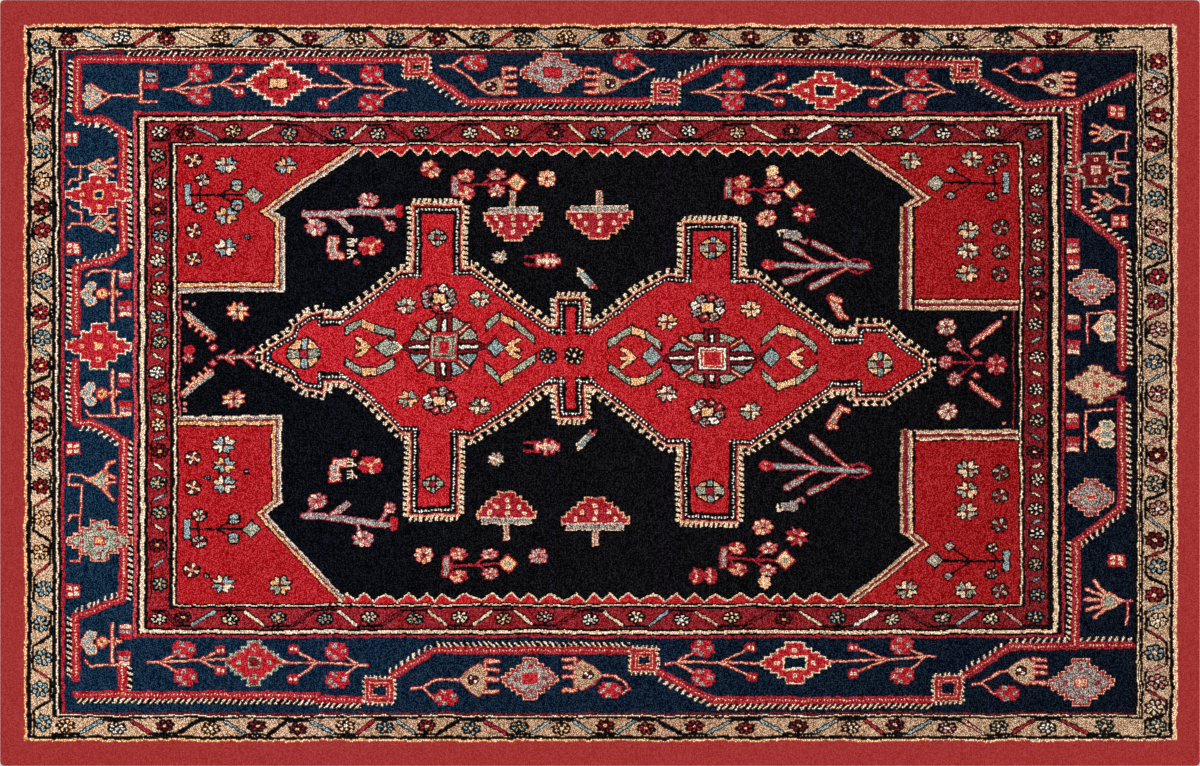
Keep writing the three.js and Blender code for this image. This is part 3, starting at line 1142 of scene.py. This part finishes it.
def goblet(x, y, way, tall, fingers):
    """A goblet flower on its side: a teardrop cup, a bar at its mouth and four fingers, edged in red."""
    cup = [(x - 15 * way, y), (x - 6 * way, y - 0.62 * tall), (x + 5 * way, y - tall),
           (x + 10 * way, y - 0.7 * tall)]
    cup += [(x + 10 * way, y + 0.7 * tall), (x + 5 * way, y + tall), (x - 6 * way, y + 0.62 * tall)]
    area(grow(cup, 1.2), "ribbon")
    stroke([(x + 11 * way, fingers[0]), (x + 11 * way, fingers[-1])], 2.6, "camel", "ribbon", 1.0)
    for finger in fingers:
        stroke([(x + 11 * way, finger), (x + 23 * way, finger)], 2.6, "peach", "ribbon", 1.1)
    area(cup, "camel")
    rosette(x - way, y, 13, 11, ["white", "oxblood"], "black", "black", 4)


goblets = (
    # column, row, way it opens, half height, rows of the fingers
    (493, 86, 1, 9, (68.4, 76.5, 84.5, 92.5)),
    (608.7, 83, -1, 10, (69, 76.8, 83.8, 91.6)),
    (1051, 83.8, 1, 11, (74, 80.6, 87.6, 95)),
    (1022.5, 671.4, 1, 13, (659, 666, 672, 682)),
    (474.7, 680, 1, 16, (661.7, 670, 679, 691)),
    (587, 674.8, -1, 15, (659, 667, 676.5, 691)),
)
for flower in goblets:
    goblet(*flower)
small_sprigs = (
    # tip, fork, way to the goblet, bend to the bud, bud
    ((441, 66.3), (452.3, 65.6), ((476, 82.4), (479, 86)), (463.5, 57.9), (476.1, 62)),
    ((654.4, 69.8), (649.5, 70.5), ((634, 79), (622, 82)), (636.8, 60.7), (625, 62)),
    ((993.3, 70.5), (1001.7, 71.9), ((1018, 82), (1036, 83.5)), (1015, 63.5), (1030, 65)),
    ((973, 685), (982, 682.5), ((1000, 672), (1008, 671)), (994, 694), (1008, 693)),
    ((411, 688.6), (423, 687), ((434, 680.7), (459, 680.5)), (434, 699), (446, 698)),
    ((631, 688.6), (629.8, 687.7), ((616.4, 675.8), (603, 675)), (622, 693), (610, 690)),
)
for tip, fork, onward, bend, place in small_sprigs:
    stem(tip, fork, *onward)
    stem(fork, bend, place)
    bud(*place, 24, 15)


# The short sides of the navy border hold tulips on bent stems, flowers on brackets, checked squares and
# striped boxes, in red, cream, blue and green.
def side_tulip(x, y, way, hooks):
    """A tulip of the short sides: a peach diamond about a green one, with short hooks from its mouth."""
    diamond = [(x - 13 * way, y), (x, y - 8.4), (x + 9 * way, y), (x, y + 8.4)]
    for across, down in hooks:
        stroke([(x + 4 * way, y + 0.4 * down), (x + across * way, y + down)], 2.4, "peach", "ribbon", 0.9)
    for swell, ink in ((1.2, "ribbon"), (0.2, "peach"), (-2.2, "navy"), (-3.6, "green")):
        area(grow(diamond, swell), ink)


SHORT_HOOKS = ((13, -9), (15, -1), (13, 8))
HAND = ((15, -19), (23, -11), (24, -1), (22, 9), (15, 17))
for x, y, way in ((99.6, 167, 1), (100.2, 223.6, 1), (1106, 134, -1), (1107, 201.5, -1)):
    side_tulip(x, y, way, SHORT_HOOKS)
side_tulip(1109, 601, -1, HAND)
rosette(1109, 601.5, 18, 16, ["green"], "peach", "green", 5, 0, 0.1, 0)
for swell, ink in ((1.4, "ribbon"), (0.4, "peach"), (-2.0, "green")):
    area(grow([(87, 479.5), (107, 469), (107, 490)], swell), ink)
lone_hooks = (
    [(105, 471), (108, 463), (114, 461)],
    [(107, 475), (114, 477)],
    [(107, 483), (114, 482)],
    [(104, 489), (113, 500)],
)
for hook in lone_hooks:
    stroke(hook, 2.4, "peach", "ribbon", 1.0)
for mirror, way in ((0, 1), (390.4, -1)):
    stem((88, mirror + 167 * way), (71, mirror + 166.5 * way), (69, mirror + 161 * way))
    stem((81, mirror + 167 * way), (81, mirror + 178.5 * way), (71, mirror + 180 * way),
         (69, mirror + 184 * way))
for mirror, way in ((0, 1), (335.6, -1)):
    stem((1116, mirror + 132 * way), (1131, mirror + 132 * way))
    stem((1126.8, mirror + 133 * way), (1126.8, mirror + 150 * way), (1116.4, mirror + 152 * way))
    stem((1116.4, mirror + 152 * way), (1116.4, mirror + 162.5 * way), (1129, mirror + 162.5 * way))
stem((88, 479.5), (82, 474), (68.5, 474), (68.5, 484), (82, 484), (80.2, 531))
stem((80, 515), (71, 515.5), (69.5, 520))
stem((80.5, 550), (80, 561), (70, 561))
stem((1117, 601), (1132, 601))
stem((1127.5, 602), (1127.5, 615), (1125, 624))


def checked(x, y, wide=14, high=13):
    """A red square with two pairs of pale spots."""
    stepped(x, y, [(-wide / 2, -high / 2, wide / 2, high / 2)], [(0, "poppy")])
    for across in (-0.23, 0.23):
        stepped(x + across * wide, y, [(-2.3, -4.6, 2.3, -0.9), (-2.3, 0.9, 2.3, 4.6)], [(0, "cream")])


for x, y in ((72, 138.4), (73, 249), (73.6, 448.8), (73, 591)):
    checked(x, y)
for x, y in ((1116.6, 112), (1119.3, 220.4), (1116.4, 561)):
    checked(x, y, 17, 13)


def striped_box(x, y, outer, high=15, wide=13):
    """A red box with a cream strip at its outer end and two grey spots next to it."""
    stepped(x, y, [(-wide / 2, -high / 2, wide / 2, high / 2)], [(0, "poppy")])
    for left in (-0.4, 0.08):
        stepped(x, y, [(left * wide, -1.5, (left + 0.34) * wide, 2)], [(0, "grey")], -outer)
    stepped(x, y, [(-wide * 0.42, -high * 0.46, wide * 0.42, -high * 0.22)], [(0, "cream")], -outer)


for x, y, outer in (
    (125, 280, -1), (125, 309, 1), (125, 380.4, -1), (125, 409, 1), (126, 632, -1), (125, 659, 1),
    (1073.6, 246, 1), (1073.6, 262, 1), (1073.4, 322, -1), (1073.4, 347, 1), (1073, 420.6, -1),
    (1073, 444, 1),
):
    striped_box(x, y, outer)


def fan(x, y):
    """Three round blue petals spread from a gold ring, edged in peach."""
    for across, down in ((-2, -7), (-6, 0), (-2, 7)):
        rosette(x + across, y + down, 13, 11, ["blue"], "peach", "blue", 5, 0, 0.12, 0)
    rosette(x + 9.6, y, 13, 13, ["gold"], "poppy", "oxblood", 6, 0, 0.1, 0.4)


for x, y, upper, lower in ((112.4, 293.4, 271, 321), (112.8, 393.4, 371, 417), (112.6, 642, 624, 664)):
    stroke([(x, upper), (x, lower)], 2.6, "peach", "ribbon", 0.9)
    stem((x - 4, y), (x + 9, y))
    stem((x + 4, y - 3), (x + 4, y + 3))
    fan(x - 20, y)
stem((86, 276), (90, 272.5), (104, 270), (120, 271.5))
for y in (412, 661):
    stem((85.3, y - 2), (89.5, y + 4.4), (104, y + 3.6), (121, y + 4.6))
stroke([(141.4, 71), (141.4, 101)], 2.4, "peach", "ribbon", 0.9)
stem((108, 95.8), (139, 95.8))
stem((139, 101.4), (157, 101.4))
stepped(152, 79.6, [(-7, -8.5, 7, 8.5)], [(0, "poppy")])
stepped(152, 79.6, [(-5.5, -7, 5.5, -3.6), (-5.5, -1.2, 5.5, 2.2)], [(0.8, "black"), (0, "blue")])
for x, y in ((90, 88), (90, 103.6), (87, 95.8), (96, 92.5), (96, 99)):
    rosette(x, y, 11, 10, ["blue"], "peach", "blue", 4, 0, 0.12, 0)
stroke([(90, 84.5), (110, 95.8), (90, 107.5)], 1.8, "peach", "ribbon", 0.8)
for x, y, upper, lower in ((1087.2, 328, 313, 342), (1086, 434.6, 411, 451)):
    stem((x, lower), (x, upper), (x + 27, upper - 1))
    cup = [(x + 4, y), (x + 17, y - 10), (x + 17, y + 10)]
    area(grow(cup, 1.0), "ribbon")
    area(cup, "peach")
    for down, ink in ((-8.6, "green"), (8.6, "green"), (0, "blue")):
        rosette(x + 21, y + down, 17, 10, [ink], "cream", ink, 4, 0, 0.1, 0)
    rosette(x + 11.5, y, 9, 8, ["poppy"], "gold", "oxblood", 5)


# Old wool is never one colour: here and there a knot was tied from another ball. The print copies that,
# so a share of the knots of each pale dye takes one of the dyes that stray into it.
FLECKS = (
    # dye, the dyes that stray into it, share of its knots
    ("grey", ("pink", "oxblood", "blue", "cream"), 0.2),
    ("pink", ("ribbon", "cream", "grey"), 0.24),
    ("peach", ("cream", "gold", "ribbon"), 0.16),
    ("green", ("gold", "black", "blue"), 0.14),
    ("blue", ("grey", "green", "black"), 0.14),
    ("gold", ("peach", "cream", "camel"), 0.16),
    ("camel", ("peach", "gold", "black"), 0.05),
    ("cream", ("peach", "gold", "grey"), 0.1),
)
chance = np.random.default_rng(31).random(chart.shape)
for dye, strays, share in FLECKS:
    own = chart == INK[dye]
    for number, stray in enumerate(strays):
        low = share * number / len(strays)
        chart[own & (chance >= low) & (chance < low + share / len(strays))] = INK[stray]


# The cloth. One cut length of short-pile cloth on a thin backing, with eased corners and an oversewn
# rim that rolls over from the face to the back. It lies flat on the floor, and the print is on its face
# alone.
RUG_LENGTH = 2.4  # metres
RUG_WIDTH = 1.532
CLOTH_THICKNESS = 0.005
CORNER_RADIUS = 0.008
RIM_ROUNDING = 0.0016
KNOTS_A_SIDE = 4  # a square of the face is four knots by four
FACES_ACROSS = COLUMNS // KNOTS_A_SIDE
FACES_UP = CELLS_DOWN // KNOTS_A_SIDE
RIM_RINGS = (
    # angle in degrees, upper (1) or lower (-1) round
    (60, 1), (30, 1), (0, 1), (0, -1), (-30, -1), (-60, -1), (-90, -1),
)
RIM_STRIP = 0.06  # share of the square colour map that the rim and the back take
RIM_PART = (0.62, 0.3)  # start and height of the rim's part of that strip
BACK_PART = (0.04, 0.5)  # start and height of the back's part


def cloth_face():
    """The printed face: a grid of even squares, its outer lines drawn in to the rim, its corners cut
    round."""
    across = np.linspace(-RUG_LENGTH / 2, RUG_LENGTH / 2, FACES_ACROSS + 1)
    up = np.linspace(-RUG_WIDTH / 2, RUG_WIDTH / 2, FACES_UP + 1)
    across[[0, -1]] += (RIM_ROUNDING, -RIM_ROUNDING)
    up[[0, -1]] += (RIM_ROUNDING, -RIM_ROUNDING)
    x, y = np.meshgrid(across, up)
    cut = (CORNER_RADIUS - RIM_ROUNDING) * (1 - np.sqrt(0.5))
    corner = (np.abs(x) == across[-1]) & (np.abs(y) == up[-1])
    x = x - corner * cut * np.sign(x)
    y = y - corner * cut * np.sign(y)
    return np.stack([x, y, np.full_like(x, CLOTH_THICKNESS)], -1)


face = cloth_face()
number = np.arange(face[..., 0].size).reshape(face.shape[:2])
round_edge = np.concatenate([number[0, :-1], number[:-1, -1], number[-1, :0:-1], number[:0:-1, 0]])


def cloth_rim(edge):
    """The rim: the face's edge line carried out and down a quarter round, down the side and in under
    the back."""
    low_corner = np.array([face[0, 0, :2], face[-1, -1, :2]])
    outward = np.sign(edge[:, :2]) * (np.abs(edge[:, :2]) > np.abs(low_corner).min(0) - 1e-6)
    outward /= np.linalg.norm(outward, axis=1, keepdims=True)
    rings = []
    for angle, half in RIM_RINGS:
        out = RIM_ROUNDING * np.cos(np.radians(angle))
        middle = CLOTH_THICKNESS - RIM_ROUNDING if half > 0 else RIM_ROUNDING
        height = np.full((len(edge), 1), middle + RIM_ROUNDING * np.sin(np.radians(angle)))
        rings.append(np.hstack([edge[:, :2] + out * outward, height]))
    return np.array(rings)


rim = cloth_rim(face.reshape(-1, 3)[round_edge])
points = np.concatenate([face.reshape(-1, 3), rim.reshape(-1, 3)])
squares = np.stack([number[:-1, :-1], number[:-1, 1:], number[1:, 1:], number[1:, :-1]], -1).reshape(-1, 4)
rings = np.vstack([round_edge, number.size + np.arange(rim[..., 0].size).reshape(rim.shape[:2])])
onward = np.roll(rings, -1, 1)
rim_faces = np.stack([rings[:-1], rings[1:], onward[1:], onward[:-1]], -1).reshape(-1, 4)
back_face = rings[-1][::-1]

cloth = bpy.data.meshes.new("printed_rug")
cloth.from_pydata(points.tolist(), [], squares.tolist() + rim_faces.tolist() + [back_face.tolist()])
rug = bpy.data.objects.new("printed_rug", cloth)
bpy.context.scene.collection.objects.link(rug)
smooth = np.zeros(len(cloth.polygons), bool)
smooth[len(squares) : len(squares) + len(rim_faces)] = True
cloth.polygons.foreach_set("use_smooth", smooth)

# The chart goes onto the cloth four by four: each square of the face holds sixteen knots, one attribute
# for each of its four rows and the attribute's red, green, blue and alpha for the four columns
knots = chart[::-1].reshape(FACES_UP, KNOTS_A_SIDE, FACES_ACROSS, KNOTS_A_SIDE)
knots = knots.transpose(1, 0, 2, 3).reshape(KNOTS_A_SIDE, -1, KNOTS_A_SIDE)
for line in range(KNOTS_A_SIDE):
    held = np.zeros((len(cloth.polygons), KNOTS_A_SIDE), np.float32)
    held[: len(squares)] = knots[line]
    attribute = cloth.attributes.new(f"knots_{line}", "FLOAT_COLOR", "FACE")
    attribute.data.foreach_set("color", held.ravel())

# The colour map's layout: the face takes nearly the whole square, the rim and the back a strip below it
corners = np.empty(len(cloth.loops), np.int32)
cloth.loops.foreach_get("vertex_index", corners)
face_uv = points[corners, :2] / (RUG_LENGTH, RUG_WIDTH) + 0.5
face_uv[:, 1] = RIM_STRIP + (1 - RIM_STRIP) * face_uv[:, 1]
rim_start = 4 * len(squares)
back_start = rim_start + 4 * len(rim_faces)
ring_count = len(rings) - 1
lap = np.arange(len(round_edge)) / len(round_edge)
step = 1 / len(round_edge)
rim_u = np.tile(np.stack([lap, lap, lap + step, lap + step], -1), (ring_count, 1))
rim_v = np.repeat(np.arange(ring_count), len(round_edge))[:, None] + np.array([1, 0, 0, 1])
face_uv[rim_start:back_start, 0] = rim_u.ravel()
face_uv[rim_start:back_start, 1] = (RIM_PART[0] + RIM_PART[1] * (rim_v / ring_count)).ravel() * RIM_STRIP
back_v = points[corners[back_start:], 1] / RUG_WIDTH + 0.5
face_uv[back_start:, 1] = (BACK_PART[0] + BACK_PART[1] * back_v) * RIM_STRIP
cloth.uv_layers.new(name="OFBake").data.foreach_set("uv", face_uv.astype(np.float32).ravel())


# The printed pile's material: the dyes of the chart, the grain of the wool and the stitches of the rim.
# The dyes are reckoned in screen values and turned to light at the end.
class Dye:
    """A socket of the cloth's material that can be reckoned with like a number."""

    def __init__(self, socket):
        self.socket = socket

    def add(self, kind, inputs, **settings):
        """Any node in the same material: its settings, then its sockets' values or links; gives its
        outputs."""
        tree = self.socket.id_data
        node = tree.nodes.new(kind)
        for name, value in settings.items():
            setattr(node, name, value)
        for name, value in inputs.items():
            if isinstance(value, Dye):
                tree.links.new(value.socket, node.inputs[name])
            else:
                node.inputs[name].default_value = value
        return {key: Dye(output) for key, output in enumerate(node.outputs)}

    def sum(self, operation, *values):
        """One step of arithmetic: this value first, the others after it."""
        return self.add("ShaderNodeMath", dict(enumerate((self, *values))), operation=operation)[0]

    def __add__(self, other):
        return self.sum("ADD", other)

    def __radd__(self, other):
        return self.sum("ADD", other)

    def __sub__(self, other):
        return self.sum("SUBTRACT", other)

    def __rsub__(self, other):
        return self.sum("MULTIPLY_ADD", -1.0, other)

    def __mul__(self, other):
        return self.sum("MULTIPLY", other)

    def __rmul__(self, other):
        return self.sum("MULTIPLY", other)

    def __truediv__(self, other):
        return self.sum("DIVIDE", other)

    def __gt__(self, other):
        return self.sum("GREATER_THAN", other)

    def __lt__(self, other):
        return self.sum("LESS_THAN", other)

    def fraction(self):
        """The part after the point."""
        return self.sum("FRACT")

    def size(self):
        """The value without its sign."""
        return self.sum("ABSOLUTE")

    def mixed(self, first, second):
        """Two colours, mixed by this value."""
        return self.add("ShaderNodeMix", {0: self, 6: first, 7: second}, data_type="RGBA")[2]

    def held(self, low, high):
        """The value kept between two bounds."""
        return self.sum("MINIMUM", high).sum("MAXIMUM", low)

    def moved(self, step):
        """A colour with a step added to each of its parts."""
        return self.add("ShaderNodeVectorMath", {0: self, 1: step}, operation="ADD")[0]

    def grain(self, scale, detail):
        """Soft chance values over the cloth, read at this place."""
        return self.add("ShaderNodeTexNoise", {"Vector": self, "Scale": scale, "Detail": detail})[0]


printed = bpy.data.materials.new("printed_pile")
printed.use_nodes = True
shader = printed.node_tree.nodes["Principled BSDF"]
coordinates = printed.node_tree.nodes.new("ShaderNodeTexCoord")
place = Dye(coordinates.outputs["Object"])
along = place.add("ShaderNodeSeparateXYZ", {0: place})
x = along[0]
y = along[1]
height = along[2]

# Which knot of the square a place falls on
knot_across = (x * (FACES_ACROSS / RUG_LENGTH) + FACES_ACROSS / 2).fraction() * KNOTS_A_SIDE
knot_up = (y * (FACES_UP / RUG_WIDTH) + FACES_UP / 2).fraction() * KNOTS_A_SIDE


def quarter(value):
    """Four switches for a value from 0 to 4: each is 1 in its own quarter and 0 in the others."""
    past = [value > 1, value > 2, value > 3]
    return [1 - past[0], past[0] - past[1], past[1] - past[2], past[2]]


across_switch = quarter(knot_across)
first_three = x.add("ShaderNodeCombineXYZ", dict(enumerate(across_switch[:3])))[0]
ink = 0.0
for line, up_switch in enumerate(quarter(knot_up)):
    row_of_four = x.add("ShaderNodeAttribute", {}, attribute_name=f"knots_{line}")
    picked = x.add("ShaderNodeVectorMath", {0: row_of_four[0], 1: first_three}, operation="DOT_PRODUCT")[1]
    picked = picked + row_of_four[3] * across_switch[3]
    ink = picked * up_switch + ink


def dye_table(end):
    """A ramp without blending: one stop for each dye, in the shade it has at one place along the rug."""
    shelf = x.add("ShaderNodeValToRGB", {0: (ink + 0.5) / len(DYES)})
    ramp = shelf[0].socket.node.color_ramp
    ramp.interpolation = "CONSTANT"
    for number, shades in enumerate(DYES.values()):
        stop = ramp.elements[number] if number < 2 else ramp.elements.new(number / len(DYES))
        stop.position = number / len(DYES)
        stop.color = (*(np.array(shades[end]) / 255), 1)
    return shelf[0]


# The dye lots: from the left shade to the middle one over the first half of the rug, to the right one
# over the second
LOT_SPAN = 0.9  # share of the length over which they change
lot = x / (LOT_SPAN * RUG_LENGTH) * 2 + 1
first_half = lot.held(0.0, 1.0)
second_half = (lot - 1).held(0.0, 1.0)
colour = second_half.mixed(first_half.mixed(dye_table(0), dye_table(1)), dye_table(2))

# The wool's unevenness, in screen values: every tuft a little lighter or darker, long streaks up the
# pile, slow clouds, and a few bands across the ground where the old yarn was dyed bluer. The plain
# surround has little of it.
KNOT = 0.002
TUFT_DEPTH = 0.56
STREAK_DEPTH = 0.34
STREAK_SCALE = 400.0
STREAK_LIE = 0.07  # a streak's scale along the pile, as a share of its scale across
CLOUD_DEPTH = 0.08
CLOUD_SCALE = 9.0
PLAIN_SHARE = 0.19  # share of the grain that the surround has
DARK_SHARE = 0.12  # share added on black dyes, and its rise towards pale ones
PALE_RISE = 1.1
YARN_BANDS = (
    # column, half width in metres, tint
    (330, 0.22, (-0.012, 0.002, 0.024)),
    (552, 0.004, (0.0, 0.03, 0.09)),
    (666, 0.026, (0.02, 0.0, 0.035)),
    (854, 0.003, (0.0, 0.04, 0.12)),
)
grey = colour.add("ShaderNodeRGBToBW", {0: colour})[0]
patterned = (ink > 0.5) * (grey * PALE_RISE + DARK_SHARE).held(0.0, 1 - PLAIN_SHARE) + PLAIN_SHARE
knot = place.add("ShaderNodeVectorMath", {0: place, 1: (KNOT, KNOT, 1.0)}, operation="SNAP")[0]
tufts = place.add("ShaderNodeTexWhiteNoise", {"Vector": knot}, noise_dimensions="2D")[0] - 0.5
lying = place.add("ShaderNodeVectorMath", {0: place, 1: (1.0, STREAK_LIE, 1.0)}, operation="MULTIPLY")[0]
streaks = lying.grain(STREAK_SCALE, 1.0) - 0.5
clouds = place.grain(CLOUD_SCALE, 2.0) - 0.5
uneven = (tufts * TUFT_DEPTH + streaks * STREAK_DEPTH + clouds * CLOUD_DEPTH) * patterned
colour = colour.moved(uneven)
for middle, wide, tint in YARN_BANDS:
    aside = (x - (middle / COLUMNS - 0.5) * RUG_LENGTH).size()
    band = (1 - aside / wide).held(0.0, 1.0) * patterned
    colour = colour.moved(band.mixed((0, 0, 0, 1), (*tint, 1)))

# The underside is bare backing cloth. Screen values turn to light by the screen's own curve: a small
# lift, then a power.
BACKING = (0.78, 0.74, 0.67)
BACKING_TOP = 0.0004  # metres above the floor
SCREEN_LIFT = 0.055
SCREEN_POWER = 2.4
under = height < BACKING_TOP
colour = under.mixed(colour, (*BACKING, 1))
colour = colour.add("ShaderNodeVectorMath", {0: colour, 1: (0, 0, 0)}, operation="MAXIMUM")[0]
slope = (1 / (1 + SCREEN_LIFT),) * 3
lift = (SCREEN_LIFT / (1 + SCREEN_LIFT),) * 3
lifted = colour.add("ShaderNodeVectorMath", {0: colour, 1: slope, 2: lift}, operation="MULTIPLY_ADD")[0]
light = lifted.add("ShaderNodeGamma", {0: lifted, 1: SCREEN_POWER})[0]
printed.node_tree.links.new(light.socket, shader.inputs["Base Color"])

# Short pile, and the oversewing stitches along the rim: slanting ridges that grow over the last 4 mm
STITCH_PITCH = 0.004
STITCH_REACH = 0.004
STITCH_RISE = 0.1
PILE_SCALE = 500.0
PILE_RISE = 0.0008
past_ends = x.size() - RUG_LENGTH / 2
past_sides = y.size() - RUG_WIDTH / 2
edge_gap = (past_ends.sum("MAXIMUM", past_sides) + STITCH_REACH).held(0.0, STITCH_REACH)
stitch = ((x + y) / STITCH_PITCH * 2 * np.pi).sum("SINE") * edge_gap * STITCH_RISE
relief = place.grain(PILE_SCALE, 1.0) * PILE_RISE + stitch
bump = x.add("ShaderNodeBump", {"Strength": 0.5, "Distance": 1.0, "Height": relief})[0]
printed.node_tree.links.new(bump.socket, shader.inputs["Normal"])
shader.inputs["Roughness"].default_value = 0.95
shader.inputs["Specular IOR Level"].default_value = 0.02
cloth.materials.append(printed)

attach(rug, "root")
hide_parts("rug")

# The studio: a plain pale floor just under the rug, soft even light from a white sky and one broad lamp
# above, and the camera straight overhead, with the rug's length filling its frame.
FLOOR_REACH = 6.0
FLOOR_DROP = 0.0004
FLOOR_COLOUR = (0.78, 0.77, 0.75, 1)
SKY_STRENGTH = 0.76
LAMP_SIZE = (5.0, 4.0)
LAMP_PLACE = (0, 0.4, 4.2)
LAMP_WATTS = 57
floor_mesh = bpy.data.meshes.new("floor")
floor_square = ((-1, -1), (1, -1), (1, 1), (-1, 1))
floor_corners = [(a * FLOOR_REACH, b * FLOOR_REACH, -FLOOR_DROP) for a, b in floor_square]
floor_mesh.from_pydata(floor_corners, [], [(0, 1, 2, 3)])
floor = bpy.data.objects.new("floor", floor_mesh)
bpy.context.scene.collection.objects.link(floor)
pale = bpy.data.materials.new("pale_floor")
pale.use_nodes = True
pale.node_tree.nodes["Principled BSDF"].inputs["Base Color"].default_value = FLOOR_COLOUR
pale.node_tree.nodes["Principled BSDF"].inputs["Roughness"].default_value = 0.9
floor_mesh.materials.append(pale)

sky = bpy.data.worlds.new("studio")
bpy.context.scene.world = sky
sky.use_nodes = True
sky.node_tree.nodes["Background"].inputs["Color"].default_value = (1, 1, 1, 1)
sky.node_tree.nodes["Background"].inputs["Strength"].default_value = SKY_STRENGTH
lamp_data = bpy.data.lights.new("softbox", "AREA")
lamp_data.shape = "RECTANGLE"
lamp_data.size = LAMP_SIZE[0]
lamp_data.size_y = LAMP_SIZE[1]
lamp_data.energy = LAMP_WATTS
lamp = bpy.data.objects.new("softbox", lamp_data)
lamp.location = LAMP_PLACE
bpy.context.scene.collection.objects.link(lamp)

CAMERA_HEIGHT = 5.0  # above the printed face
SENSOR_WIDTH = 36.0  # mm
camera_data = bpy.data.cameras.new("overhead")
camera_data.sensor_width = SENSOR_WIDTH
camera_data.sensor_fit = "HORIZONTAL"
camera_data.lens = SENSOR_WIDTH * CAMERA_HEIGHT / RUG_LENGTH
camera = bpy.data.objects.new("overhead", camera_data)
camera.location = (0, 0, CAMERA_HEIGHT + CLOTH_THICKNESS)
bpy.context.scene.collection.objects.link(camera)
bpy.context.scene.camera = camera
bpy.context.scene.view_settings.view_transform = "Standard"
